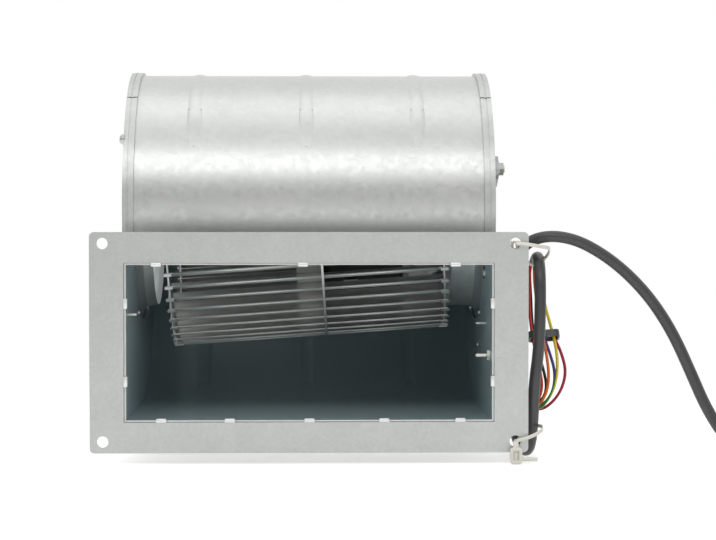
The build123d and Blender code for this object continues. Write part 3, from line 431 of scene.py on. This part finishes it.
# Galvanised steel, pressed: greyer than the housing, with soft highlights
bracket_zinc = worked_metal("pressed_galvanised_bracket", "#B4B6B4", "#94979A", 0.8, 0.40)
# Bearing steel, ground: smooth, with sharp reflections
ground_steel = worked_metal(
    "ground_bearing_steel", "#B8B8B8", "#9C9C9C", 0.2, 0.22, bump_strength=0.03
)
# Electrical steel, punched and varnished: dark grey satin
varnished_core = worked_metal("varnished_electrical_steel", "#5C5C5E", "#3E3E41", 0.5, 0.45)
# Enamelled copper wire, wound and varnished: red brown with a warm gloss
copper_wire = worked_metal("enamelled_copper_winding", "#A0522A", "#6E3217", 0.5, 0.30)
# Natural rubber, moulded: matt black with a grain that breaks up the light
buffer_rubber = moulded("moulded_rubber", "#1D1D1E", "#111112", 0.5, 0.62, 0.2)
# Soft PVC, extruded: dark grey satin with one soft highlight along the cable
black_sheath = moulded("extruded_black_pvc", "#484849", "#38383A", 0.4, 0.31)
# Natural polyamide, moulded: milky off-white satin
natural_nylon = moulded("moulded_natural_nylon", "#EDEAE1", "#DCD8CC", 0.6, 0.38)
# PVC insulation, extruded: clean full colours with a satin sheen
core_finishes = {
    "red": moulded("extruded_red_pvc", "#D42F22", "#B41E14", 0.4, 0.38),
    "orange": moulded("extruded_orange_pvc", "#EE7E22", "#D66412", 0.4, 0.38),
    "yellow_green": earth_wire("extruded_earth_pvc"),
    "black": moulded("extruded_core_black_pvc", "#1A1A1C", "#101012", 0.4, 0.40),
    "violet": moulded("extruded_violet_pvc", "#5E4CA6", "#483A86", 0.4, 0.38),
    "crimson": moulded("extruded_crimson_pvc", "#B3173A", "#8E0D2A", 0.4, 0.38),
}

finishes = {
    galvanised_scroll: ["scroll_wrapper", "cutoff_plate"],
    galvanised_side: ["side_plate_left", "side_plate_right"],
    galvanised_nozzle: ["inlet_nozzle_left", "inlet_nozzle_right"],
    galvanised_frame: ["outlet_flange"],
    blade_strip: [
        "impeller_disc", "blade_row_left", "blade_row_right", "end_ring_left", "end_ring_right",
    ],
    can_coat: ["rotor_can"],
    cast_alloy: ["motor_flange"],
    zinc_plate: [
        "nozzle_rivets_left", "nozzle_rivets_right", "disc_rivets", "balance_clips", "circlip",
        "preload_spring", "buffer_studs", "buffer_nuts", "foot_studs", "foot_washers", "foot_nuts",
        "clip_rivet", "lead_clip",
    ],
    bracket_zinc: ["motor_bracket"],
    ground_steel: ["shaft", "bearing_inner_rings", "bearing_outer_rings"],
    varnished_core: ["stator_core", "cage_ring"],
    copper_wire: ["end_windings"],
    buffer_rubber: ["rubber_buffers", "foot_bushes", "lead_gland"],
    black_sheath: ["core_band"],
    natural_nylon: ["tie_top", "tie_bottom", "connector"],
}
for material, names in finishes.items():
    for name in names:
        piece = nodes[name]
        if piece.material_slots:
            for slot in piece.material_slots:
                slot.material = material
        else:
            piece.data.materials.append(material)

# Leads: control points in millimetres, as the solids' routes have them
motor_route = [
    (113.4, 118.9, 54.8), (114.8, 114.1, 41.6), (118.8, 108.0, 24.0), (124.0, 101.0, 4.0),
    (124.0, 93.5, -13.0), (129.5, 84.0, -28.0), (137.0, 72.0, -38.5), (142.0, 59.5, -42.6),
    (143.0, 46.0, -43.0),
]
supply_route = [
    (144.0, 44.0, 49.0), (143.8, 27.0, 54.5), (143.2, 10.0, 45.0), (143.2, 7.2, 24.0),
    (142.4, 7.0, -4.0), (139.2, 7.2, -28.0), (139.0, 9.0, -50.0), (138.0, 17.5, -68.0),
    (135.5, 34.0, -71.2), (132.5, 50.0, -64.0), (130.0, 57.0, -44.0), (128.5, 58.0, -16.0),
    (129.0, 57.0, 10.0), (129.5, 50.0, 32.0), (130.5, 38.0, 46.5), (132.0, 27.5, 55.5),
    (137.0, 18.5, 61.5), (144.5, 13.0, 64.9), (155.5, 11.5, 65.3), (169.0, 11.0, 61.8),
    (185.0, 10.5, 52.5), (200.0, 10.0, 40.0), (214.0, 9.0, 24.0), (226.0, 7.0, 4.5),
    (236.0, 5.0, -18.0), (246.0, 2.0, -42.0), (258.0, -4.5, -61.5), (275.0, -11.0, -70.8),
    (293.0, -13.6, -71.3),
]
tail_route = [
    (353.9, 38.0, -64.4), (355.0, 46.0, -65.6), (358.8, 56.0, -68.6), (366.0, 65.5, -71.0),
    (376.0, 72.0, -71.3), (385.0, 75.0, -71.1), (393.0, 75.6, -71.2),
]
core_routes = {
    "red": [
        (141.9, 43.7, 48.0), (141.8, 50.4, 45.8), (141.5, 54.0, 36.5), (141.0, 50.5, 24.5),
        (140.8, 44.0, 13.0), (141.6, 38.0, 2.2), (143.4, 33.4, -9.6), (146.2, 30.6, -21.0),
        (147.2, 29.6, -31.5), (144.4, 31.0, -39.6), (141.9, 37.6, -41.4), (141.9, 46.0, -40.9),
    ],
    "yellow_green": [
        (146.1, 43.7, 48.0), (146.4, 50.4, 45.6), (148.0, 54.0, 35.5), (150.4, 50.5, 23.0),
        (153.2, 44.5, 11.5), (155.4, 38.5, 1.0), (157.2, 34.0, -10.5), (156.8, 31.0, -22.5),
        (153.6, 29.6, -34.0), (147.4, 30.4, -43.0), (142.3, 37.2, -46.0), (141.9, 46.0, -45.1),
    ],
    "black": [
        (141.9, 44.3, 50.0), (141.9, 52.6, 47.4), (142.2, 57.8, 38.5), (142.6, 54.5, 25.5),
        (142.4, 48.0, 13.5), (142.8, 42.0, 2.5), (145.4, 38.4, -9.4), (149.0, 36.4, -20.5),
        (150.8, 35.8, -31.0), (148.4, 37.0, -38.6), (144.6, 41.2, -41.2), (144.1, 46.0, -40.9),
    ],
    "crimson": [
        (146.1, 44.3, 50.0), (146.5, 52.6, 47.2), (148.4, 57.8, 37.5), (150.8, 54.5, 24.0),
        (153.4, 48.5, 12.0), (155.6, 42.5, 1.5), (160.4, 39.0, -9.0), (163.4, 37.0, -21.5),
        (159.6, 36.6, -34.4), (151.8, 37.6, -43.4), (145.4, 40.8, -46.0), (144.1, 46.0, -45.1),
    ],
}
core_routes["orange"] = (np.array(core_routes["red"]) + np.array(core_routes["yellow_green"])) / 2
core_routes["violet"] = (np.array(core_routes["black"]) + np.array(core_routes["crimson"])) / 2
COIL_TURNS = 3.25
CONTROLS_PER_TURN = 20


def coil_controls():
    """Controls of the put-away turns: centre + radius * (cos, sin) of an angle that grows evenly.

    Radius and height step between two turns wide and two high, with a small gap. The spline runs
    inside its controls, so their radius is 0.8 % up.
    """
    gap, inside_controls = 0.1, 1.008
    turn = np.arange(1, int(COIL_TURNS * CONTROLS_PER_TURN)) / CONTROLS_PER_TURN
    inner, outer = COIL_RADIUS - SHEATH_RADIUS, COIL_RADIUS + SHEATH_RADIUS
    low, high = FLOOR_LEVEL + SHEATH_RADIUS + gap, FLOOR_LEVEL + 3 * SHEATH_RADIUS + 2 * gap
    radius = np.interp(turn, [0.0, 0.85, 1.15, 2.85, 3.1], [outer, outer, inner, inner, outer])
    radius *= inside_controls
    height = np.interp(turn, [0.0, 1.9, 2.15, 4.0], [low, low, high, high])
    angle = FULL_TURN * turn - math.pi / 2
    x, y = COIL_CENTRE
    return np.stack([x + radius * np.cos(angle), y + radius * np.sin(angle), height], axis=1)


supply_line = smooth_line(np.concatenate([supply_route, coil_controls(), tail_route]))
supply_cable = tube("supply_cable_sheath", supply_line, SHEATH_RADIUS, 20, black_sheath)
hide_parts("supply_cable", "supply_coil", "supply_tail")
motor_line = smooth_line(motor_route)
motor_lead = tube("motor_lead_sheath", motor_line, SHEATH_RADIUS, 20, black_sheath)
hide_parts("motor_lead")
for colour, route in core_routes.items():
    line = smooth_line(route)
    core = tube(f"core_{colour}_wire", line, CORE_RADIUS, 12, core_finishes[colour])
    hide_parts(f"core_{colour}")

# Impeller edges: the rotor's line, and sizes shared with the solids, in millimetres
PIVOT = np.array([80.0, 127.0, 75.0])
DROOP = math.radians(4.0)
ALONG = np.array([math.cos(DROOP), 0.0, math.sin(DROOP)])
UPWARD = np.array([-math.sin(DROOP), 0.0, math.cos(DROOP)])
BACK = np.array([0.0, 1.0, 0.0])
BLADES = 50
TIP_RADIUS = 72.25
BLADE_LEAN = 5.0
TAB_LENGTH = 5.2
LIP_WIDTH = 2.6
blade_angles = np.arange(BLADES) / BLADES * FULL_TURN - BLADE_LEAN / TIP_RADIUS


def on_rotor(along, radius, angle):
    """Points in metres from the distance along the rotor's line, the radius and the angle about it."""
    along, radius, angle = np.broadcast_arrays(along, radius, angle)
    out = np.cos(angle)[..., None] * BACK + np.sin(angle)[..., None] * UPWARD
    return (PIVOT + along[..., None] * ALONG + radius[..., None] * out) * MM


def blade_lips(ends):
    """Rolled outer edges of one row, between two places along the rotor's line.

    Section: eight points of a rounded strip, LIP_WIDTH round the rim, whose middle lies just past
    the tip radius, less a curl that grows with the square of the way from the blade.
    """
    past_tip, curl, half_thickness = 0.25, 0.9, 0.27
    way = np.array([0.0, 0.35, 0.7, 1.0, 1.0, 0.7, 0.35, 0.0])
    face = np.array([1, 1, 1, 0.4, -0.4, -1, -1, -1])
    radius = TIP_RADIUS + past_tip - curl * way**2 + half_thickness * face
    angle = blade_angles[:, None, None] + way * LIP_WIDTH / TIP_RADIUS
    return on_rotor(np.array(ends)[:, None], radius, angle)


def ring_flat(place, inward):
    """End ring: a rectangle 60 to 72.1 mm out and 2.4 to 3.4 mm past its place, carried round."""
    section = np.array([(2.4, 60.0), (2.4, 72.1), (3.4, 72.1), (3.4, 60.0)])
    angle = np.linspace(0.0, FULL_TURN, 200, endpoint=False)
    return on_rotor(place + inward * section[:, :1], section[:, 1:], angle)


def ring_tabs(place, inward):
    """The blades' ends, clinched over the ring: one section, bent onto the rim, over a small angle."""
    section = np.array(
        [(0.0, 72.1), (0.0, 72.85), (0.25, 73.0), (TAB_LENGTH, 72.9), (TAB_LENGTH, 72.1)]
    )
    half_angle = 0.013
    middle = (blade_angles + LIP_WIDTH / 2 / TIP_RADIUS)[:, None, None]
    angle = middle + np.linspace(-half_angle, half_angle, 5)[:, None]
    return on_rotor(place + inward * section[:, 0], section[:, 1], angle)


# For each side: where its lips start and end, its end ring's place, and the way inwards
row_places = {
    "left": ((-175.0 + TAB_LENGTH, -74.5), -176.0, 1),
    "right": ((-73.0, 7.0 - TAB_LENGTH), 8.0, -1),
}
# The lips take the lighter colour, a painted highlight along each blade
for side, (lip_ends, place, inward) in row_places.items():
    surface(
        f"blade_lips_{side}", blade_lips(lip_ends), "rotor", blade_lip_highlight, caps=True
    )
    flat_ring = surface(
        f"end_ring_{side}_flat", ring_flat(place, inward), "rotor", blade_strip,
        loop=True, smooth=False,
    )
    tab_piece = surface(
        f"end_ring_{side}_tabs", ring_tabs(place, inward), "rotor", blade_strip,
        caps=True, smooth=False,
    )
    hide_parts(f"end_ring_{side}")
    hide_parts(f"end_ring_{side}")


# Ties and small fasteners
def strap(name, controls, width, thickness, across):
    """Tie strap: a rounded rectangle carried along a smooth line, its width along one fixed direction.

    A point is line + width * a * side + thickness * b * lift, where side is the fixed direction made
    square to the line, and lift is square to both.
    """
    line = smooth_line(controls)
    run = directions(line)
    across = np.array(across)
    side = across - (run @ across)[:, None] * run
    side /= np.linalg.norm(side, axis=1, keepdims=True)
    lift = np.cross(run, side)
    a = np.array([-0.5, -0.44, 0.44, 0.5, 0.5, 0.44, -0.44, -0.5])
    b = np.array([0.2, 0.5, 0.5, 0.2, -0.2, -0.5, -0.5, -0.2])
    section = width * a[:, None] * side[:, None] + thickness * b[:, None] * lift[:, None]
    grid = line[:, None] + MM * section
    return surface(name, grid, "housing", natural_nylon, caps=True)


def rounded_square(columns, power):
    """Points of a square with round corners: the circle's cos and sin, each to a power below 1."""
    angle = np.linspace(0.0, FULL_TURN, columns, endpoint=False)
    circle = np.stack([np.cos(angle), np.sin(angle)], axis=1)
    return np.sign(circle) * np.abs(circle) ** power


def tie_head(name, low, high, wall):
    """Block with a window through it along Y: a rounded rectangle that changes from row to row.

    Rows go up the outside, with its edges broken, over the top and down the window at the wall's
    thickness; each is given as what it is short of the outside, and its y.
    """
    low, high = np.array(low), np.array(high)
    centre, half = (low + high) / 2, (high - low) / 2
    broken, bevel = 0.32, 0.4
    short_of, y = np.array([
        (broken, low[1]), (0.0, low[1] + bevel), (0.0, high[1] - bevel), (broken, high[1]),
        (wall, high[1]), (wall, low[1]),
    ]).T
    flat = rounded_square(32, 0.35) * (half[[0, 2]] - short_of[:, None])[:, None, :] + centre[[0, 2]]
    grid = np.stack([flat[..., 0], y[:, None] + 0 * flat[..., 0], flat[..., 1]], axis=-1)
    return surface(name, grid * MM, "housing", natural_nylon, loop=True)


def turned(name, centre, axis, profile, columns=24, smooth=True):
    """Plated fastener: (distance along the axis, radius) pairs carried round it, ends closed.

    axis is a unit vector square to Z.
    """
    axis, profile = np.array(axis), np.array(profile)
    one = np.cross(axis, (0.0, 0.0, 1.0))
    two = np.cross(axis, one)
    angle = np.linspace(0.0, FULL_TURN, columns, endpoint=False)
    out = np.cos(angle)[:, None] * one + np.sin(angle)[:, None] * two
    grid = np.array(centre) + profile[:, 0, None, None] * axis + profile[:, 1, None, None] * out
    surface(name, grid * MM, "housing", zinc_plate, caps=True, smooth=smooth)


# Upper tie: out of the flange's hole, over its edge and round the crown of the cable's loop
upper_strap = strap(
    "tie_top_strap",
    [
        (128.5, 9.0, 59.8), (127.4, 3.5, 61.0), (127.2, -2.6, 61.0), (131.0, -2.6, 60.8),
        (135.8, -2.4, 60.2), (140.5, 0.4, 59.4), (145.5, 5.0, 58.6), (149.8, 13.5, 57.8),
        (150.2, 24.0, 54.0), (147.8, 31.5, 50.0), (141.5, 30.5, 46.5), (136.5, 24.0, 49.0),
        (131.8, 15.5, 55.0), (128.5, 9.0, 59.8),
    ],
    2.2, 1.0, (0.0, 0.0, 1.0),
)
upper_head = tie_head("tie_top_head", (125.2, 9.4, 56.4), (131.2, 14.6, 62.6), 1.5)
for piece in (upper_strap, upper_head):
    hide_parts("tie_top")

# Lower tie: its head hangs below the flange's hole and the strap goes round the loop's front leg
lower_strap = strap(
    "tie_bottom_strap",
    [
        (127.3, 6.5, -63.5), (127.0, 3.0, -61.2), (127.0, -2.6, -60.8), (131.0, -2.6, -59.6),
        (135.6, -2.4, -58.4), (140.2, -0.6, -56.6), (144.4, 4.0, -54.4), (145.2, 10.0, -53.0),
        (142.2, 15.4, -53.0), (136.4, 15.0, -56.0), (130.4, 10.4, -60.6), (127.3, 6.5, -63.5),
    ],
    2.2, 1.0, (0.0, 0.0, 1.0),
)
lower_link = strap(
    "tie_bottom_link",
    [(127.0, -2.4, -61.0), (127.0, -3.4, -64.0), (127.0, -3.6, -68.0), (127.0, -3.6, -74.0)],
    3.4, 1.1, (1.0, 0.0, 0.0),
)
lower_head = tie_head("tie_bottom_head", (123.4, -5.8, -74.6), (130.7, -1.8, -64.6), 1.9)
lower_tail = strap(
    "tie_bottom_tail",
    [(128.0, -3.2, -72.0), (132.5, -3.2, -71.8), (137.0, -2.4, -71.9), (140.4, -0.8, -72.4)],
    2.4, 1.0, (0.0, 0.0, 1.0),
)
for piece in (lower_strap, lower_link, lower_head, lower_tail):
    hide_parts("tie_bottom")


def coil_tie():
    """Twist tie round the put-away turns: a flat closed section carried round a rounded square.

    It stands 60 degrees round the coil from +X, just outside two turns wide and two high, and is
    kept off the floor where it passes below them.
    """
    stands_at = math.radians(60)
    out = np.array([math.cos(stands_at), math.sin(stands_at), 0.0])
    up = np.array([0.0, 0.0, 0.96])
    lift, slack = 0.3, 0.75
    middle = np.array([*COIL_CENTRE, FLOOR_LEVEL + 2 * SHEATH_RADIUS + lift]) + COIL_RADIUS * out
    round_turns = rounded_square(40, 0.6) * (2 * SHEATH_RADIUS + slack)
    from_middle = round_turns[:, :1] * out + round_turns[:, 1:] * up
    outward = from_middle / np.linalg.norm(from_middle, axis=1, keepdims=True)
    section = np.array(
        [(-1.6, 0.0), (-1.2, 0.55), (1.2, 0.55), (1.6, 0.0), (1.2, -0.45), (-1.2, -0.45)]
    )
    grid = (middle + from_middle)[:, None] + section[:, :1] * np.cross(out, (0.0, 0.0, 1.0))
    grid += section[:, 1:] * outward[:, None]
    grid[..., 2] = np.maximum(grid[..., 2], FLOOR_LEVEL + 0.05)
    return grid


surface("coil_tie", coil_tie() * MM, "housing", natural_nylon, loop=True)

# Screws through the duct's walls near the outlet, tips inwards, as the photograph shows them
THREAD_STEP = 0.8
PLATE = 1.0
for name, side, y, z, reach, radius in (
    ("duct_screw_left", -1, 13.5, 16.8, 7.0, 1.1),
    ("duct_screw_right", 1, 48.0, 9.4, 7.5, 1.1),
    ("duct_screw_lower", 1, 13.5, -8.8, 10.5, 1.5),
):
    head = [(-2.6, 0.01), (-2.6, 1.6 * radius), (-1.4, 2.3 * radius), (-1.0, 2.3 * radius)]
    head += [(-0.99, radius)]
    ridge = np.arange(1, int(reach / THREAD_STEP))
    thread = np.stack([ridge * THREAD_STEP, radius * (0.86 + 0.14 * (ridge % 2))], axis=1).tolist()
    point = [(reach - 0.4, 0.8 * radius), (reach, 0.01)]
    turned(
        name, (side * (SIDE_FACE + PLATE), y, z), (-side, 0.0, 0.0), head + thread + point, columns=16
    )
turned(
    "duct_screw_nut", (SIDE_FACE, 13.5, -8.8), (-1.0, 0.0, 0.0),
    [(0.0, 0.01), (0.0, 3.0), (0.25, 3.5), (2.15, 3.5), (2.4, 3.0), (2.4, 0.01)], columns=6, smooth=False,
)


def lug_folds():
    """Where each lug turns over the flange's inner edge: half an oval, carried across the lug.

    An edge is its middle's x and z, and the way into the opening in x and z; the way across the lug
    is square to that. The section is (way in, depth), and shrinks a little at the lug's two sides.
    """
    width, radius, reach, depth = 6.5, 1.3, 1.1, 0.75
    edges = [(x, -49.0, 0.0, 1.0) for x in (-91.0, -49.0, 0.0, 46.0, 93.0)]
    edges += [(x, 49.0, 0.0, -1.0) for x in (-94.0, -4.0, 90.0)]
    edges += [(side * 114.0, z, -side, 0.0) for z in (24.0, -24.0) for side in (-1.0, 1.0)]
    edges = np.array(edges)[:, None, None]
    middle, way_in = edges[..., :2], edges[..., 2:]
    way_across = np.abs(way_in[..., ::-1])
    turn = np.linspace(0.0, math.pi, 7)
    section = np.stack([reach + radius * np.cos(turn), -0.12 - depth * np.sin(turn)], axis=1)
    section = np.concatenate([section, [(reach - radius, 0.5), (reach + radius, 0.5)]])
    step = np.array([-0.5, -0.42, 0.42, 0.5])[:, None, None]
    section = np.array([0.8, 1.0, 1.0, 0.8])[:, None, None] * section
    flat = middle + step * width * way_across + section[..., :1] * way_in
    return np.stack([flat[..., 0], section[..., 1] + 0 * flat[..., 0], flat[..., 1]], axis=-1)


# The folds take the nearly white colour, a painted highlight on each lug
surface("lug_folds", lug_folds() * MM, "housing", lug_fold_highlight, caps=True)

# Sealant in the slot between the duct and the flange's collar: a rectangle carried round the duct,
# each row half its width, half its height and its depth
sealant_rows = np.array(
    [(113.58, 48.58, 1.9), (114.02, 49.02, 1.9), (114.02, 49.02, 3.4), (113.58, 48.58, 3.4)]
)
duct_corners = np.array([(1.0, 0.0, 1.0), (-1.0, 0.0, 1.0), (-1.0, 0.0, -1.0), (1.0, 0.0, -1.0)])
sealant = duct_corners * sealant_rows[:, None, [0, 2, 1]] + sealant_rows[:, None, [2]] * BACK
surface(
    "collar_sealant", sealant * MM, "housing", galvanised_frame,
    loop=True, smooth=False,
)

# Seam button on the left plate's hem
turned(
    "seam_button", (-118.2, 54.5, 126.8), (-1.0, 0.0, 0.0),
    [(-0.4, 0.01), (-0.4, 3.4), (0.9, 3.4), (2.1, 2.9), (2.9, 1.8), (3.2, 0.01)],
)


def bead_tip(centre_y, centre_z, sheet_radius, start, way, bead_x):
    """Run-out of a pressed bead, from the angle where the bead stops, in degrees, on along the arc.

    Along the way t the rise falls with the square of the cosine of a quarter turn. Across, it is a
    parabola that ends a little under the sheet's face, so that the tip narrows and fades with the
    rise and has no rim of its own. It starts inside the bead and comes out of it just before the
    bead's blunt end, which it hides. The underside lies inside the sheet.
    """
    bead_rise, bead_half_width = 0.9, 4.6
    buried, under = 0.2, 0.15
    rise_share, rise_inside = 0.94, 0.5
    t = np.linspace(-0.25, 1.0, 21)[:, None]
    across = np.linspace(-1.0, 1.0, 13)
    half_width = bead_half_width * math.sqrt((bead_rise + buried) / bead_rise)
    peak = rise_share * np.cos(np.maximum(t, 0.0) * math.pi / 2) ** 2 + rise_inside * np.minimum(t, 0.0)
    rise = (peak + buried) * (1.0 - across**2) - buried
    reach = sheet_radius + np.concatenate([rise, np.full_like(rise, -buried - under)], axis=1)
    angle = np.radians(start + way * TIP_ANGLE * t)
    x = bead_x + half_width * np.concatenate([across, across[::-1]]) + 0 * reach
    return np.stack([x, centre_y + reach * np.cos(angle), centre_z + reach * np.sin(angle)], axis=-1)


# The arcs' centres and radii are the scroll's first and last, and the angles are where its beads stop
TIP_ANGLE = math.degrees(25.0 / 91.4)
arcs = {
    "front": (133.433, 81.433, 91.433, 138.0, 1.0),
    "floor": (120.567, 68.567, 117.167, -70.0, -1.0),
}
for end, arc in arcs.items():
    for number, bead_x in enumerate((-74.0, -2.0, 70.0)):
        surface(
            f"bead_tip_{end}_{number}", bead_tip(*arc, bead_x) * MM, "housing",
            galvanised_scroll, caps=True,
        )


# Stage: a pale floor, and soft lights
def pale_paper(name):
    """Matt studio paper that keeps the object's shadow and fades to plain white with distance.

    To camera and glossy rays it glows a little near the object, and away from it, over a distance
    that runs from near to far, it turns to white light.
    """
    material, tree, shader, place = new_finish(name, Roughness=0.9, Base_Color=linear("#F0F0F0"))
    near, far, faint_glow = 0.30, 0.75, 0.45
    rays = add_node(tree, "ShaderNodeLightPath")
    seen = add_node(
        tree, "ShaderNodeMath", {"operation": "MAXIMUM"},
        i0=(rays, "Is Camera Ray"), i1=(rays, "Is Glossy Ray"),
    )
    away = add_node(tree, "ShaderNodeVectorMath", {"operation": "LENGTH"}, i0=(place, "Object"))
    fade = add_node(
        tree, "ShaderNodeMapRange", {"interpolation_type": "SMOOTHSTEP"},
        Value=(away, "Value"), From_Min=near, From_Max=far,
    )
    share = add_node(
        tree, "ShaderNodeMath", {"operation": "MULTIPLY"}, i0=(fade, "Result"), i1=(seen, "Value")
    )
    glow_share = add_node(
        tree, "ShaderNodeMath", {"operation": "MULTIPLY"}, i0=(seen, "Value"), i1=faint_glow
    )
    glow = add_node(
        tree, "ShaderNodeEmission", Color=(1.0, 1.0, 1.0, 1.0), Strength=(glow_share, "Value")
    )
    lit = add_node(tree, "ShaderNodeAddShader", i0=(shader, "BSDF"), i1=(glow, "Emission"))
    white = add_node(tree, "ShaderNodeEmission", Color=(1.0, 1.0, 1.0, 1.0), Strength=1.0)
    paper = add_node(
        tree, "ShaderNodeMixShader", Fac=(share, "Value"), i1=(lit, "Shader"), i2=(white, "Emission")
    )
    connect(tree, tree.nodes["Material Output"], Surface=(paper, "Shader"))
    return material


# Floor: a flat sheet, 12 m square, at the level that the leads lie on
depth, width = np.meshgrid([-6.0, -2.0, 0.0, 2.0, 4.0, 6.0], [-6.0, 0.0, 6.0], indexing="ij")
floor_points = np.stack([width, depth, np.full_like(width, FLOOR_LEVEL * MM)], axis=-1)
rows, columns = width.shape
row, column = np.meshgrid(np.arange(rows - 1), np.arange(columns - 1), indexing="ij")
first = row * columns + column
floor_faces = np.stack([first, first + 1, first + columns + 1, first + columns], axis=-1).reshape(-1, 4)
floor_mesh = bpy.data.meshes.new("floor_sheet")
floor_mesh.from_pydata(floor_points.reshape(-1, 3).tolist(), [], floor_faces.tolist())
floor_mesh.materials.append(pale_paper("white_studio_paper"))
floor = bpy.data.objects.new("floor_sheet", floor_mesh)
scene.collection.objects.link(floor)

# The studio round the object: white above and behind, darker in front below the softbox
UP_AND_BACK = (0.0, 0.55, 0.83)
DARKEST = 0.21
world = bpy.data.worlds.new("studio")
scene.world = world
world.use_nodes = True
sky = world.node_tree
background = sky.nodes["Background"]
toward = add_node(sky, "ShaderNodeTexCoord")
height = add_node(
    sky, "ShaderNodeVectorMath", {"operation": "DOT_PRODUCT"},
    i0=(toward, "Generated"), i1=UP_AND_BACK,
)
brightness = add_node(
    sky, "ShaderNodeMapRange", {"interpolation_type": "SMOOTHSTEP"},
    Value=(height, "Value"), From_Min=-0.75, From_Max=0.75, To_Min=DARKEST, To_Max=1.0,
)
connect(sky, background, Color=(1.0, 1.0, 1.0, 1.0), Strength=(brightness, "Result"))
rays = add_node(sky, "ShaderNodeLightPath")
white = add_node(sky, "ShaderNodeBackground", Color=(1.0, 1.0, 1.0, 1.0), Strength=1.0)
seen_world = add_node(
    sky, "ShaderNodeMixShader",
    Fac=(rays, "Is Camera Ray"), i1=(background, "Background"), i2=(white, "Background"),
)
connect(sky, sky.nodes["World Output"], Surface=(seen_world, "Shader"))

# Lamps: name, place, width and height, and power in watts; all face the housing
HOUSING_MIDDLE = np.array([0.0, 0.1, 0.05])
lamps = [
    ("front_softbox", (-0.15, -1.25, 1.20), (1.5, 0.42), 5.6),
    ("top_softbox", (0.0, 0.25, 1.8), (1.6, 1.0), 3.0),
    ("low_front_softbox", (0.3, -1.9, -0.02), (1.6, 0.5), 3.1),
]
for name, place, size, power in lamps:
    light = bpy.data.lights.new(name, "AREA")
    light.shape = "RECTANGLE"
    light.size, light.size_y = size
    light.energy = power
    lamp = bpy.data.objects.new(name, light)
    scene.collection.objects.link(lamp)
    lamp.location = place
    aim = HOUSING_MIDDLE - np.array(place)
    tilt = math.acos(-aim[2] / np.linalg.norm(aim))
    lamp.rotation_euler = (tilt, 0.0, math.atan2(aim[1], aim[0]) - math.pi / 2)

scene.view_settings.view_transform = "Standard"
